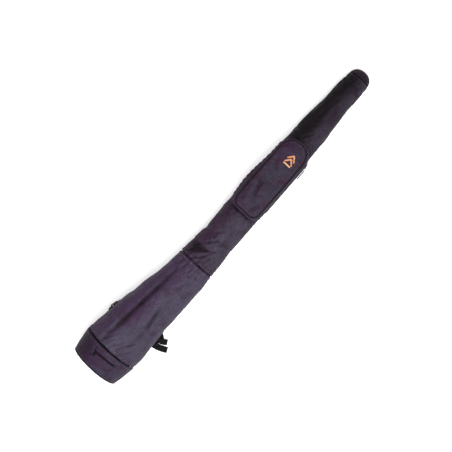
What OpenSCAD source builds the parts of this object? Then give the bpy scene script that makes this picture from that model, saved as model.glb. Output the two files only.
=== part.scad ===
// Padded carrying case for a one-piece cue, lying on its back.
// +X runs from the flat end cap (x = 0) to the narrow tip, +Z is the pocket side,
// +Y is the side that the pocket bulges towards. The origin is the centre of the flat base.

/* [Case] */
// Overall length from flat base to tip
case_len = 1500; // [1480:1:1520]
// Number of flats round each soft tube
ring_n = 36; // [32:4:40]
// Thickness of the outer nylon skin
skin_t = 1.2; // [0.8:0.1:1.4]
// Thickness of the foam padding
foam_t = 7.6; // [6:0.1:8]
// Thickness of the lining
lining_t = 0.8; // [0.5:0.1:1]

/* [End cap] */
// Radius of the stiff mouth hoop, to the middle of its section
hoop_r = 105.8; // [105:0.1:106]
// Radius of the flat base disc
base_r = 95.5; // [90:0.5:96]
// Half angle of the zip round the mouth, measured from the +Y side
zip_half_angle = 150; // [145:1:150]
// Angle where the cap slider is parked, from +Y towards +Z
slider_park = -147; // [-148:1:-140]

/* [Pocket] */
// Lower end of the pocket along the case
pocket_x0 = 794; // [790:1:800]
// Upper end of the pocket along the case
pocket_x1 = 1128; // [1120:1:1134]
// Height of the front panel at the upper end
pocket_z = 37; // [34:1:42]
// Rise of the front panel towards the lower end, per millimetre
pocket_slope = 0.045; // [0.02:0.005:0.05]
// Extra bulge of the pocket on its +Y side
pocket_bulge = 13; // [6:1:14]
// Height of the pocket zip above the X axis
zip_z = 4; // [2:1:6]

/* [Straps] */
// Width of the webbing
web_w = 25; // [24:1:26]
// Thickness of the webbing
web_t = 1.5; // [1.2:0.1:1.6]
// Width of the shoulder pads
pad_w = 40; // [34:1:40]
// Thickness of the shoulder pads
pad_t = 8; // [6:0.5:8.5]
// How far the straps bow towards the middle
strap_bow = 24; // [16:1:24]

/* [Hidden] */

// Colours shared by several pieces
foam_grey = [0.55, 0.55, 0.57];
lining_black = [0.12, 0.12, 0.13];
panel_violet = [0.3, 0.26, 0.34];
hinge_violet = [0.2, 0.17, 0.23];
tape_black = [0.05, 0.05, 0.05];
web_black = [0.03, 0.03, 0.03];

// ---- Shared shapes ----
function reversed(list) = [for (i = [len(list) - 1 : -1 : 0]) list[i]];
function flatten(lists) = [for (list = lists) each list];
function sum_points(points, i = 0) =
  i >= len(points) ? [0, 0, 0] : points[i] + sum_points(points, i + 1);
function centre(points) = sum_points(points) / len(points);
// Triangles between neighbouring rings, for the given number of steps from ring to ring
function walls(ring_count, ring_size, steps) =
  [for (j = [0 : steps - 1]) for (i = [0 : ring_size - 1])
    let (here = j * ring_size, next = ((j + 1) % ring_count) * ring_size, k = (i + 1) % ring_size)
    each [[here + i, next + i, next + k], [here + i, next + k, here + k]]];
// Closed skin through a loop of rings, the last joined back to the first
module loop_skin(rings) {
  count = len(rings);
  polyhedron(points = flatten(rings), faces = walls(count, len(rings[0]), count), convexity = 8);
}
// Closed skin through rings, with a fan over the first and the last
module capped_skin(rings) {
  count = len(rings);
  size = len(rings[0]);
  first_hub = count * size;
  last_start = first_hub - size;
  polyhedron(
    points = concat(flatten(rings), [centre(rings[0]), centre(rings[count - 1])]),
    faces = concat(walls(count, size, count - 1),
      [for (i = [0 : size - 1]) [first_hub, i, (i + 1) % size]],
      [for (i = [0 : size - 1]) [first_hub + 1, last_start + (i + 1) % size, last_start + i]]),
    convexity = 8);
}
// Solid of revolution about the X axis from [x, radius] points; angles run from +Y towards +Z
module turned(points, from = 0, sweep = 360) {
  rotate([0, 90, 0]) rotate([0, 0, 90 + from]) rotate_extrude(angle = sweep, $fn = 128)
    polygon([for (p = points) [p[1], p[0]]]);
}
// Turned strip between two x values and two radii
module band(x, r, from = 0, sweep = 360) {
  turned([[x[0], r[0]], [x[1], r[0]], [x[1], r[1]], [x[0], r[1]]], from, sweep);
}
// Round cord bent into a circle about the X axis
module hoop(x, r, cord_r) {
  rotate([0, 90, 0]) rotate_extrude($fn = 128) translate([r, x]) circle(r = cord_r, $fn = 24);
}
module block(at, size) { translate(at) cube(size); }
module rod_x(at, r, length, facets) {
  translate(at) rotate([0, 90, 0]) cylinder(r = r, h = length, $fn = facets);
}
module rod_y(r, length) {
  rotate([90, 0, 0]) cylinder(r = r, h = length, center = true, $fn = 32);
}

// ---- Soft tube ----
floor_z = -113;
case_x0 = 101;      // mouth end of the shell
padding_x0 = 112;   // mouth end of the foam and lining
seam_x = 535;       // seam between flare and tube
tip_x = 1464;       // seam between tube and tip panel
last_x = 1470;      // last station of the tables
seam_gap = 0.4;
layer_gap = 0.2;
tip_gap = 2;
seam_tape_half = 9;
seam_tape_t = 0.7;
foam_depth = skin_t + layer_gap;
lining_depth = foam_depth + foam_t + layer_gap;
tape_depth = lining_depth + lining_t + layer_gap;

// [x, y of the centre line]
centre_table = [[101, 0], [116, -2], [146, -3], [206, -5], [267, -5.5], [300, -9.3], [357, -12],
  [417, -18.3], [478, -20.5], [535, -20.5], [600, -20.4], [660, -20.5], [720, -17.4],
  [810, -14.6], [915, -12.2], [1021, -10], [1141, -8], [1202, -6.6], [1322, -3.6], [1443, -2],
  [1470, -2]];
// [x, half width]
width_table = [[101, 112], [116, 111.2], [146, 108.5], [206, 102.5], [267, 99.2], [300, 96.2],
  [357, 91], [417, 84.4], [478, 78.8], [535, 74], [600, 70.8], [660, 68], [720, 67.8],
  [810, 67], [915, 64.6], [1021, 62], [1141, 60], [1202, 57], [1322, 52], [1443, 45.6],
  [1470, 43.4]];
// [x, height as a share of the width]
flatness_table = [[101, 1], [146, 0.99], [206, 0.965], [300, 0.94], [417, 0.92], [535, 0.91],
  [720, 0.9], [1141, 0.9], [1470, 0.93]];
// [x, gap between the floor and the underside]
gap_table = [[101, 1], [146, 2], [206, 4], [267, 7], [300, 9.5], [357, 13], [417, 14.5],
  [1021, 14.5], [1141, 12], [1322, 6], [1470, 2.5]];
function centre_y(x) = lookup(x, centre_table);
function half_width(x) = lookup(x, width_table);
function half_height(x) = half_width(x) * lookup(x, flatness_table);
function centre_z(x) = floor_z + lookup(x, gap_table) + half_height(x);
// Both ends, and every table station between them
function stations(x0, x1) = concat([x0],
  [for (row = centre_table) if (row[0] > x0 + 0.5 && row[0] < x1 - 0.5) row[0]], [x1]);
// Ring of the tube at x, sunk by depth below the outer skin
function ring(x, depth) = [for (i = [0 : ring_n - 1]) let (angle = 360 * i / ring_n)
  [x, centre_y(x) + (half_width(x) - depth) * cos(angle),
    centre_z(x) + (half_height(x) - depth) * sin(angle)]];

module soft_tube(x0, x1, depth, thickness) {
  along = stations(x0, x1);
  loop_skin(concat([for (x = along) ring(x, depth)],
    [for (x = reversed(along)) ring(x, depth + thickness)]));
}
module tube_layer(depth, thickness) { soft_tube(seam_x, tip_x - tip_gap, depth, thickness); }
module flare_layer(x0, depth, thickness) { soft_tube(x0, seam_x - seam_gap, depth, thickness); }
module tube_shell() { color([0.19, 0.14, 0.19]) tube_layer(0, skin_t); }
module flare_shell() { color([0.29, 0.25, 0.33]) flare_layer(case_x0, 0, skin_t); }
module tube_foam() { color(foam_grey) tube_layer(foam_depth, foam_t); }
module flare_foam() { color(foam_grey) flare_layer(padding_x0, foam_depth, foam_t); }
module tube_lining() { color(lining_black) tube_layer(lining_depth, lining_t); }
module flare_lining() { color(lining_black) flare_layer(padding_x0, lining_depth, lining_t); }
module join_seam_tape() {
  color([0.1, 0.1, 0.1])
    soft_tube(seam_x - seam_tape_half, seam_x + seam_tape_half, tape_depth, seam_tape_t);
}

// ---- Tip ----
// [distance past the tip seam, share of the last section]
tip_profile = [[2, 1], [12, 0.945], [21, 0.82], [28.5, 0.62], [33.4, 0.34], [35, 0.06]];
tip_offset = 1;
tip_stretch = (case_len - tip_x) / (35 + tip_offset);
tip_panel_t = 1.3;
tip_nominal_r = 43;
tip_piping_r = 1.5;
tip_foam_profile = [[0, 0], [30, 0], [30, 8], [22, 16], [0, 16]];   // [radius, distance]
function tip_ring(station, depth) =
  let (share = station[1] * (1 - depth / tip_nominal_r), y = centre_y(last_x), z = centre_z(last_x))
  [for (p = ring(last_x, 0))
    [tip_x + (station[0] - depth * (1 - station[1]) + tip_offset) * tip_stretch,
      y + (p[1] - y) * share, z + (p[2] - z) * share]];
// Domed panel, open towards the tube
module tip_panel() {
  color([0.12, 0.09, 0.12]) capped_skin(concat(
    [for (station = reversed(tip_profile)) tip_ring(station, tip_panel_t)],
    [for (station = tip_profile) tip_ring(station, 0)]));
}
module tip_foam() {
  color(foam_grey) translate([tip_x + 6, centre_y(last_x), centre_z(last_x)]) rotate([0, 90, 0])
    rotate_extrude($fn = 64) polygon(tip_foam_profile);
}
module tip_piping() {
  seam = ring(tip_x, 0.8);
  middle = [tip_x, centre_y(tip_x), centre_z(tip_x)];
  color("black") loop_skin([for (j = [0 : 7]) let (angle = 360 * j / 8)
    [for (p = seam) let (outward = (p - middle) / norm(p - middle))
      p + outward * tip_piping_r * cos(angle) - [tip_piping_r * sin(angle), 0, 0]]]);
}

// ---- Mouth and its zip: x ranges and radius ranges ----
zip_tape_r = [108.4, 109.3];
zip_coil_r = [109.5, 112.4];
case_tape_x = [95.2, 104];
cap_tape_x = [81, 93.8];
coil_w = 2.4;
hinge_gap = 2;      // angle between zip and hinge strip
stop_gap = 0.3;     // angle between zip and stop
stop_sweep = 1.2;
module zip_band(x, r) { band(x, r, -zip_half_angle, 2 * zip_half_angle); }
// Strip across the -Y side, where the zip leaves off
module hinge_band(x) {
  start = zip_half_angle + hinge_gap;
  color(hinge_violet) band(x, zip_tape_r, start, 360 - 2 * start);
}
module mouth_hoop() { color([0.2, 0.2, 0.2]) hoop(105, hoop_r, 2); }
module mouth_binding() { color([0.08, 0.08, 0.08]) band([99.5, 111], [102.2, 103.4]); }
module mouth_zip_tape() { color(tape_black) zip_band(case_tape_x, zip_tape_r); }
module mouth_zip_coil() {
  color(web_black) zip_band([case_tape_x[0], case_tape_x[0] + coil_w], zip_coil_r);
}
module mouth_zip_stops() {
  color("silver")
    for (from = [zip_half_angle + stop_gap, -zip_half_angle - stop_gap - stop_sweep])
      band([95.3, 97.8], [110.3, 113], from, stop_sweep);
}
module hinge_strip_case() { hinge_band(case_tape_x); }
module hinge_strip_cap() { hinge_band(cap_tape_x); }
module cap_zip_tape() { color(tape_black) zip_band(cap_tape_x, zip_tape_r); }
module cap_zip_coil() {
  color(web_black) zip_band([cap_tape_x[1] - coil_w, cap_tape_x[1]], zip_coil_r);
}

// ---- End cap: profiles are [x, radius] ----
cap_wall_t = 1.3;
cap_outer = [[4.8, 99], [14, 101.6], [26, 104.2], [56, 108.8], [80, 112.2], [88.5, 112.8]];
cap_foam_profile = [[4.6, 0], [4.6, 97], [14, 100], [26, 102.6], [56, 107.2], [76, 108.8],
  [76, 101.4], [56, 99.6], [26, 95], [12, 92.4], [12, 0]];
cap_lining_profile = [[12.3, 0], [12.3, 92.1], [26, 94.7], [56, 99.3], [76, 101.1],
  [76, 100.3], [56, 98.5], [26, 93.9], [13.1, 91.3], [13.1, 0]];
module cap_wall() {
  color(panel_violet)
    turned(concat(cap_outer, [for (p = reversed(cap_outer)) p - [0, cap_wall_t]]));
}
module cap_base() { color([0.1, 0.1, 0.11]) band([0, 2], [0, base_r]); }
module cap_board() { color([0.45, 0.36, 0.26]) band([2.2, 4.2], [0, base_r - 1.5]); }
module cap_foam() { color(foam_grey) turned(cap_foam_profile); }
module cap_lining() { color(lining_black) turned(cap_lining_profile); }
module cap_piping() { color("black") hoop(2.5, base_r + 2.3, 1.9); }

// ---- Cap slider, drawn with its lug towards +Y and then turned to where it is parked ----
cap_slider_x = 94.1;
cap_slider_half = 3.6;   // half angle
cap_pin_y = 116.4;
cap_pin_x = 94;
cap_pin_len = 6.6;
pin_r = 0.9;
pin_hole_r = 1;
cap_pull_t = 1.6;
cap_pull_y = cap_pin_y - cap_pull_t / 2;
cap_pull_x = 93.6;
cap_pull_w = 7.4;
pull_arm_w = 1.4;
pull_arm_len = 9;
module parked() { rotate([slider_park, 0, 0]) children(); }
module slider_band(x1, r) {
  band([cap_slider_x, x1], r, -cap_slider_half, 2 * cap_slider_half);
}
module cap_slider() {
  color("dimgray") parked() difference() {
    union() {
      slider_band(100.5, [113.1, 114.7]);   // outer plate
      slider_band(95, [107.2, 113.3]);      // web between the plates
      slider_band(99.5, [107, 108.1]);      // inner plate
      block([96, 114.2, -1.9], [2.6, 4, 3.8]);   // lug
    }
    rod_x([95, cap_pin_y, 0], pin_hole_r, 5, 32);
  }
}
module cap_pull() {
  color("dimgray") parked() {
    rod_x([cap_pin_x, cap_pin_y, 0], pin_r, cap_pin_len, 32);
    for (x = [cap_pin_x, cap_pin_x + cap_pin_len - pull_arm_w])
      block([x, cap_pull_y, -pull_arm_len], [pull_arm_w, cap_pull_t, pull_arm_len]);
    // Plate with a round hole
    difference() {
      block([cap_pull_x, cap_pull_y, -27], [cap_pull_w, cap_pull_t, 18.5]);
      translate([cap_pull_x + cap_pull_w / 2, 110, -22.5]) rotate([-90, 0, 0])
        cylinder(r = 1.8, h = 10, $fn = 32);
    }
  }
}

// ---- Pocket outline: rounded rectangle of [x, across], across from -1 to 1 ----
pocket_mid_x = (pocket_x0 + pocket_x1) / 2;
pocket_half_len = (pocket_x1 - pocket_x0) / 2;
outline_half_w = 62;
upper_r = 56;
lower_r = 30;
upper_x = pocket_x1 - upper_r;
lower_x = pocket_x0 + lower_r;
lower_across = 1 - lower_r / outline_half_w;
// Seven points round a corner
function corner(x, side, r, start) = [for (k = [0 : 6]) let (angle = start + 15 * k)
  [x + r * cos(angle), side * (1 - r / outline_half_w) + r / outline_half_w * sin(angle)]];
// Points that split a straight edge into n parts, without its ends
function between(a, b, n) = [for (k = [1 : n - 1]) a + (b - a) * k / n];
outline = concat(
  corner(upper_x, 1, upper_r, 0), between([upper_x, 1], [lower_x, 1], 8),
  corner(lower_x, 1, lower_r, 90),
  between([pocket_x0, lower_across], [pocket_x0, -lower_across], 6),
  corner(lower_x, -1, lower_r, 180), between([lower_x, -1], [upper_x, -1], 8),
  corner(upper_x, -1, upper_r, 270));

// ---- Pocket body ----
zip_x = 1085;             // upper end of the zip
pocket_slant = 0.0295;    // sideways drift of the pocket per millimetre along the case
base_share = 0.9;         // half width at the base as a share of the tube's
panel_inset = 5;          // from the pocket's ends to the panel's ends
panel_half_w = 54;
gusset_t = 1.5;
pocket_piping_r = 1.3;
// [scale, z] from the middle of the front panel to its edge
panel_profile = [[0.03, 0], [0.5, 0], [0.84, 0], [0.94, -1.8], [1, -6.4]];
padding_scale = 0.955;
function pocket_y(x) = -8.5 - (zip_x - x) * pocket_slant;
function panel_z(x) = pocket_z + (pocket_x1 - x) * pocket_slope;
function bulge(x) = let (u = (x - 900) / 95) exp(-u * u) * pocket_bulge;
function tube_top(x, y) = centre_z(x)
  + half_height(x) * sqrt(max(0.02, 1 - pow((y - centre_y(x)) / half_width(x), 2)));
// x after both pocket ends are drawn in by inset
function inset_x(x, inset) =
  pocket_mid_x + (x - pocket_mid_x) * (pocket_half_len - inset) / pocket_half_len;
// Wall points for an outline point o, sunk by depth: on the tube, half way up, under the panel
function base_point(o, depth) =
  let (x = inset_x(o[0], depth), y = pocket_y(x) + o[1] * (base_share * half_width(x) - depth))
  [x, y, tube_top(x, y) + 1.3];
// level is -1 below the middle of the wall and 1 above it
function middle_point(o, depth, level) =
  let (x = inset_x(o[0], depth - 1),
    half_w = o[1] > 0 ? 64 + bulge(x) : 67,
    bottom = tube_top(x, pocket_y(x) + o[1] * base_share * half_width(x)) + 0.9,
    side_share = pow(abs(o[1]), 4),
    middle = (bottom + panel_z(x)) / 2,
    spread = min(9, 0.24 * (panel_z(x) - bottom)))
  [x, pocket_y(x) + o[1] * (half_w - depth),
    side_share * (zip_z + level * 8.5) + (1 - side_share) * (middle + level * spread)];
function top_point(o, depth) = let (x = inset_x(o[0], panel_inset + depth))
  [x, pocket_y(x) + o[1] * (panel_half_w - depth), panel_z(x) - 7];

module pocket_gusset() {
  color([0.24, 0.2, 0.27]) difference() {
    loop_skin([
      [for (o = outline) base_point(o, 0)],
      [for (o = outline) middle_point(o, 0, -1)],
      [for (o = outline) middle_point(o, 0, 1)],
      [for (o = outline) top_point(o, 0)],
      [for (o = outline) top_point(o, gusset_t)],
      [for (o = outline) middle_point(o, gusset_t, 1)],
      [for (o = outline) middle_point(o, gusset_t, -1)],
      [for (o = outline) base_point(o, gusset_t)]]);
    zip_frame() block([-241, -6, -7], [245, 12, 14]);
  }
}
function panel_ring(scale, z) = [for (o = outline)
  let (x = pocket_mid_x + (inset_x(o[0], panel_inset) - pocket_mid_x) * scale)
  [x, pocket_y(x) + o[1] * panel_half_w * scale, panel_z(x) + z]];
// Layer of the front panel between two depths below its reference face
module panel_sheet(depth0, depth1, scale) {
  capped_skin(concat(
    [for (p = panel_profile) panel_ring(p[0] * scale, p[1] - depth1)],
    [for (p = reversed(panel_profile)) panel_ring(p[0] * scale, p[1] - depth0)]));
}
module pocket_panel() { color(panel_violet) panel_sheet(0, -1.4, 1); }
module pocket_padding() { color(foam_grey) panel_sheet(4.2, 0.2, padding_scale); }
module pocket_lining() { color(lining_black) panel_sheet(5.2, 4.4, padding_scale); }
module pocket_piping() {
  path = [for (o = outline) top_point(o, 0) + [0, 0, 1.9]];
  color("black") loop_skin([for (j = [0 : 7]) let (angle = -360 * j / 8)
    [for (p = path) let (out = [p[0] - pocket_mid_x, p[1] - pocket_y(p[0]), 0])
      p + out / norm(out) * (2.1 + pocket_piping_r * cos(angle))
        + [0, 0, pocket_piping_r * sin(angle)]]]);
}
// Two chevrons pointing up the case, with a bar below them
module emblem_patch() {
  x = 1057;
  thickness = 0.9;
  color([0.82, 0.55, 0.35]) translate([x, -19, panel_z(x) + 1.6])
    rotate([0, atan(pocket_slope), 0]) union() {
      for (apex = [13, 0]) for (side = [-1, 1])
        translate([apex, 0, 0]) rotate([0, 0, side * 38])
          block([-22, -2.6, 0], [23, 5.2, thickness]);
      block([-24, -13, 0], [4.5, 26, thickness]);
    }
}

// ---- Pocket zip: local +X runs up the case along the zip, local -Y out of the pocket wall ----
pocket_tape_w = 5.6;
pocket_tape_z = 1.2;     // from the zip's middle to the near edge of each tape
pocket_coil_len = 236;
pocket_slider_x = -12;
pull_y = -6.1;           // pin of the pull
pull_half_w = 3.9;
pull_leg = 9;
module zip_frame() {
  translate([zip_x, pocket_y(zip_x) - 67.4, zip_z]) rotate([0, 0, atan(pocket_slant)]) children();
}
module slider_frame() { zip_frame() translate([pocket_slider_x, 0, 0]) children(); }
module pocket_zip_tape() {
  color(tape_black) zip_frame() for (z = [-pocket_tape_z - pocket_tape_w, pocket_tape_z])
    block([-240, -0.2, z], [243.5, 1, pocket_tape_w]);
}
module pocket_zip_coil() {
  color(web_black) zip_frame() for (z = [-1.9, 1.9])
    rod_x([-pocket_coil_len, -1.4, z], 1.1, pocket_coil_len, 24);
}
module pocket_zip_stops() {
  color("silver") zip_frame() for (x = [-239, 0.4]) block([x, -2.6, -3], [2.4, 2.3, 6]);
}
module pocket_slider() {
  color("dimgray") slider_frame() difference() {
    union() {
      block([-5, -4.3, -4], [10, 1.5, 8]);       // outer plate
      block([-4, -3, -0.5], [7, 5, 1]);          // web between the plates
      block([-5, 1.1, -4], [10, 1.1, 8]);        // inner plate
      block([-1.9, -8, -1.5], [3.8, 4, 3]);      // lug
    }
    translate([0, pull_y, -5]) cylinder(r = pin_hole_r, h = 10, $fn = 32);
  }
}
// Wire loop: a pin, two legs and a half-round end
module pocket_pull() {
  color("silver") slider_frame() {
    translate([0, pull_y, -4.6]) cylinder(r = pin_r, h = 9.2, $fn = 32);
    for (side = [-1, 1]) rod_x([-pull_leg, pull_y, side * pull_half_w], pin_r, pull_leg, 24);
    translate([-pull_leg, pull_y, 0]) rotate([90, 0, 0]) rotate([0, 0, 90])
      rotate_extrude(angle = 180, $fn = 48) translate([pull_half_w, 0]) circle(r = pin_r, $fn = 24);
  }
}
// Cord with a ball at its lower end
module pull_cord() {
  color([0.2, 0.2, 0.2]) slider_frame() {
    rod_x([-49, pull_y, 0], 1.5, 35.2, 24);
    translate([-47.5, pull_y, 0]) sphere(r = 2.6, $fn = 32);
  }
}

// ---- Straps under the case: side = 1 for the left (+Y) strap, -1 for the right one ----
strap_x0 = 240;
strap_x1 = 1000;
strap_run = strap_x1 - strap_x0;
flick_x = 335;     // the left strap turns out towards +Y below this x
strap_steps = 30;
function by_side(side, left, right) = side > 0 ? left : right;
// Smooth step from 0 to 1
function ease(u) = let (t = min(1, max(0, u))) t * t * (3 - 2 * t);
function strap_line(side, x) = by_side(side, 30, -50)
  + side * (strap_x1 - x) / strap_run * by_side(side, 36, 56);
function flick(x) = 21 * ease((flick_x - x) / (flick_x - strap_x0));
function strap_y(side, x) = strap_line(side, x)
  - side * (web_w / 2 + 0.5 + strap_bow * 0.55 * sin(180 * (x - strap_x0) / strap_run))
  + by_side(side, flick(x), 0);
// Half the width at x of a strap that is full_w wide between its tapered ends
function strap_half_w(x, full_w) =
  web_w / 2 + (full_w - web_w) / 2 * ease((x - 370) / 60) * ease((925 - x) / 60);
module strap_shape(side, x0, x1, full_w) {
  along = [for (k = [0 : strap_steps]) x0 + (x1 - x0) * k / strap_steps];
  polygon(concat(
    [for (x = along) [x, strap_y(side, x) + strap_half_w(x, full_w)]],
    [for (x = reversed(along)) [x, strap_y(side, x) - strap_half_w(x, full_w)]]));
}
// Flat sheet with its underside at z
module sheet(z, thickness) { translate([0, 0, z]) linear_extrude(height = thickness) children(); }
module strap_pad(side) {
  color([0.1, 0.09, 0.1]) sheet(-110.7, pad_t) strap_shape(side, 360, 935, pad_w);
}
module strap_webbing(side) {
  color(web_black) sheet(-102.5, web_t) strap_shape(side, 241, 1030, web_w - 1);
}
module strap_pad_left() { strap_pad(1); }
module strap_pad_right() { strap_pad(-1); }
module strap_webbing_left() { strap_webbing(1); }
module strap_webbing_right() { strap_webbing(-1); }
module back_yoke() {
  color([0.08, 0.08, 0.08]) sheet(-100.9, 1.1)
    polygon([[980, 30], [1036, 26], [1048, -10], [1036, -46], [980, -50]]);
}

// ---- Lower anchors: the lock's round bar lies along local Y at the origin ----
anchor_left = [[0, 11], [0, -11], [-6, -12], [-26, -46], [-38, -34]];
anchor_right = [[0, 11], [0, -11], [-50, -11], [-50, 11]];
lock_inner_w = 26;
// Flat cross bars of the lock: [x, z, width, height]
lock_bars = [[8, -2.3, 4, 3], [16, -0.9, 3, 3], [23.7, -2.3, 4, 4.6]];
tail_right = [[203, -94], [220, -111], [242, -141], [223, -147], [202, -124], [191, -108]];
// [y, z]
tail_left = [[100, -103.2], [58, -110.9], [-168, -110.9], [-168, -112.3], [57.8, -112.3],
  [100, -104.6]];
module lock_frame(side) {
  translate(by_side(side, [190, 97, -100.5], [192, -96, -100.5]))
    rotate([0, 0, by_side(side, -12, -35)]) children();
}
module anchor_loop(side) {
  color(web_black) lock_frame(side) difference() {
    union() {
      rod_y(4.2, 22);
      sheet(1.4, 2.8) polygon(by_side(side, anchor_left, anchor_right));
    }
    rod_y(2.4, 30);
  }
}
module ladder_lock(side) {
  color([0.06, 0.06, 0.06]) lock_frame(side) {
    rod_y(2.3, lock_inner_w);
    for (end = [-1, 1]) block([-2.3, end * 14 - 1.8, -2.3], [30, 3.6, 4.6]);
    for (bar = lock_bars)
      block([bar[0], -lock_inner_w / 2, bar[1]], [bar[2], lock_inner_w, bar[3]]);
  }
}
module anchor_loop_left() { anchor_loop(1); }
module anchor_loop_right() { anchor_loop(-1); }
module ladder_lock_left() { ladder_lock(1); }
module ladder_lock_right() { ladder_lock(-1); }
module strap_tail_right() { color(web_black) sheet(-97.9, web_t) polygon(tail_right); }
// The left tail passes under the case and comes out on the -Y side
module strap_tail_left() {
  color(web_black) translate([205, 0, 0]) rotate([90, 0, 90])
    linear_extrude(height = web_w) polygon(tail_left);
}

tube_shell();
flare_shell();
tip_panel();
tip_piping();
tube_foam();
flare_foam();
tip_foam();
tube_lining();
flare_lining();
join_seam_tape();
mouth_hoop();
mouth_binding();
mouth_zip_tape();
mouth_zip_coil();
mouth_zip_stops();
hinge_strip_case();
pocket_gusset();
pocket_panel();
pocket_padding();
pocket_lining();
pocket_piping();
pocket_zip_tape();
pocket_zip_coil();
pocket_zip_stops();
emblem_patch();
back_yoke();
anchor_loop_left();
anchor_loop_right();
cap_wall();
cap_base();
cap_board();
cap_foam();
cap_lining();
cap_piping();
cap_zip_tape();
cap_zip_coil();
hinge_strip_cap();
cap_slider();
cap_pull();
pocket_slider();
pocket_pull();
pull_cord();
strap_pad_left();
strap_webbing_left();
strap_pad_right();
strap_webbing_right();
ladder_lock_left();
strap_tail_left();
ladder_lock_right();
strap_tail_right();
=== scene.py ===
"""Soft padded nylon case: a tapering tube with a flared mouth, a hinged round cap, a zipped
pocket on top and two shoulder straps underneath.

The case lies along X with the cap at the low-X end and the narrow tip at the high-X end.
+Z is the pocket side, the straps are on the -Z side, and "left" pieces are on the +Y side.
Lengths are in millimetres unless a comment says metres; Blender's own unit is the metre.
"""
import math

import bmesh
import bpy
import numpy as np
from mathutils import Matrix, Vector, noise
from mathutils.bvhtree import BVHTree

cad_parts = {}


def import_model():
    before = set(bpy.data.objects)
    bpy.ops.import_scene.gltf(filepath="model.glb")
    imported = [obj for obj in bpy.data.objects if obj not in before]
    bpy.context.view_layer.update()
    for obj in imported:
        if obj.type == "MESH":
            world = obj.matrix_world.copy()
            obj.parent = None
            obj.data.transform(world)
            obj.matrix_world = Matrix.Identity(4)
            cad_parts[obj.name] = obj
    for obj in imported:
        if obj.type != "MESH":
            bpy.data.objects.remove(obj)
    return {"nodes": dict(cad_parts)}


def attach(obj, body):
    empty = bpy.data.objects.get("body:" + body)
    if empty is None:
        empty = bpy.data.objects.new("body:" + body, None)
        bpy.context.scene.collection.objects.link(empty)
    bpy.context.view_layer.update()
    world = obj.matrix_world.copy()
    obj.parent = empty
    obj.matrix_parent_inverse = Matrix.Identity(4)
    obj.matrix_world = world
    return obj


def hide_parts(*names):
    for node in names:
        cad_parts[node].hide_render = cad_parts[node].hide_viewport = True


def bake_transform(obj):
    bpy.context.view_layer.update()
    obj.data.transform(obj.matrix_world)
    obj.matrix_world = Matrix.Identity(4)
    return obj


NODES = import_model()["nodes"]
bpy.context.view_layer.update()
MM = 0.001
scene = bpy.context.scene

# ---------------------------------------------------------------- main sizes (mm)
MOUTH_X = 101.0      # open end of the flare
SEAM_X = 535.0       # cross seam between the flare and the tube
TIP_X = 1464.0       # narrow end of the tube
BOTTOM_Z = -113.0    # lowest level of the case body
FLOOR_Z = -113.5
ZIP_HALF_ANGLE = 150.0   # degrees of mouth zip on each side of +Y; the hinge fills the rest
ZIP_TAPE_RADIUS = 108.8

# Case stations, all (x, value): centre in Y, half width in Y,
# half height over half width, and clearance above BOTTOM_Z.
CENTER_Y = [
    (101, 0), (116, -2), (146, -3), (206, -5), (267, -5.5), (300, -9.3), (357, -12),
    (417, -18.3), (478, -20.5), (535, -20.5), (600, -20.4), (660, -20.5), (720, -17.4),
    (810, -14.6), (915, -12.2), (1021, -10), (1141, -8), (1202, -6.6), (1322, -3.6),
    (1443, -2), (1470, -2)]
RADIUS_Y = [
    (101, 112), (116, 111.2), (146, 108.5), (206, 102.5), (267, 99.2), (300, 96.2), (357, 91),
    (417, 84.4), (478, 78.8), (535, 74), (600, 70.8), (660, 68), (720, 67.8), (810, 67),
    (915, 64.6), (1021, 62), (1141, 60), (1202, 57), (1322, 52), (1443, 45.6), (1470, 43.4)]
HEIGHT_RATIO = [
    (101, 1), (146, 0.99), (206, 0.965), (300, 0.94), (417, 0.92), (535, 0.91), (720, 0.9),
    (1141, 0.9), (1470, 0.93)]
CLEARANCE = [
    (101, 1), (146, 2), (206, 4), (267, 7), (300, 9.5), (357, 13), (417, 14.5), (1021, 14.5),
    (1141, 12), (1322, 6), (1470, 2.5)]


# ---------------------------------------------------------------- curves and small maths
def clip01(value):
    return np.clip(value, 0, 1)


def smoothstep(value):
    value = clip01(value)
    return value * value * (3 - 2 * value)


def bell(distance, width):
    return np.exp(-(distance / width) ** 2)


def unit(vectors):
    return vectors / np.linalg.norm(vectors, axis=-1, keepdims=True)


def arc_length(points):
    """Distance along a path at each of its points."""
    steps = np.linalg.norm(np.diff(points, axis=0), axis=1)
    return np.concatenate([[0], np.cumsum(steps)])


def turn(count):
    """Evenly spaced angles round a full turn."""
    return 2 * np.pi * np.arange(count) / count


def rotation_z(angle):
    c, s = math.cos(angle), math.sin(angle)
    return np.array([[c, -s, 0], [s, c, 0], [0, 0, 1]])


def piecewise_cubic(at, values, slopes, wanted):
    """Hermite curve through values at the stations at, read at the wanted stations."""
    wanted = np.asarray(wanted, float)
    k = np.clip(np.searchsorted(at, wanted, side="right") - 1, 0, len(at) - 2)
    shape = wanted.shape + (1,) * (values.ndim - 1)
    h = (at[k + 1] - at[k]).reshape(shape)
    u = ((wanted - at[k]) / (at[k + 1] - at[k])).reshape(shape)
    return ((2 * u**3 - 3 * u**2 + 1) * values[k] + (u**3 - 2 * u**2 + u) * h * slopes[k]
            + (-2 * u**3 + 3 * u**2) * values[k + 1] + (u**3 - u**2) * h * slopes[k + 1])


def smooth_table(table):
    """Function through (x, value) stations that never overshoots between them."""
    x, y = np.array(table, float).T
    slope = np.diff(y) / np.diff(x)
    tangents = np.zeros_like(y)
    tangents[0], tangents[-1] = slope[0], slope[-1]
    for i in range(1, len(x) - 1):
        before, after = slope[i - 1], slope[i]
        if before * after > 0:
            tangents[i] = 2 * before * after / (before + after)
    return lambda q: piecewise_cubic(x, y, tangents, np.clip(np.asarray(q, float), x[0], x[-1]))


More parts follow.
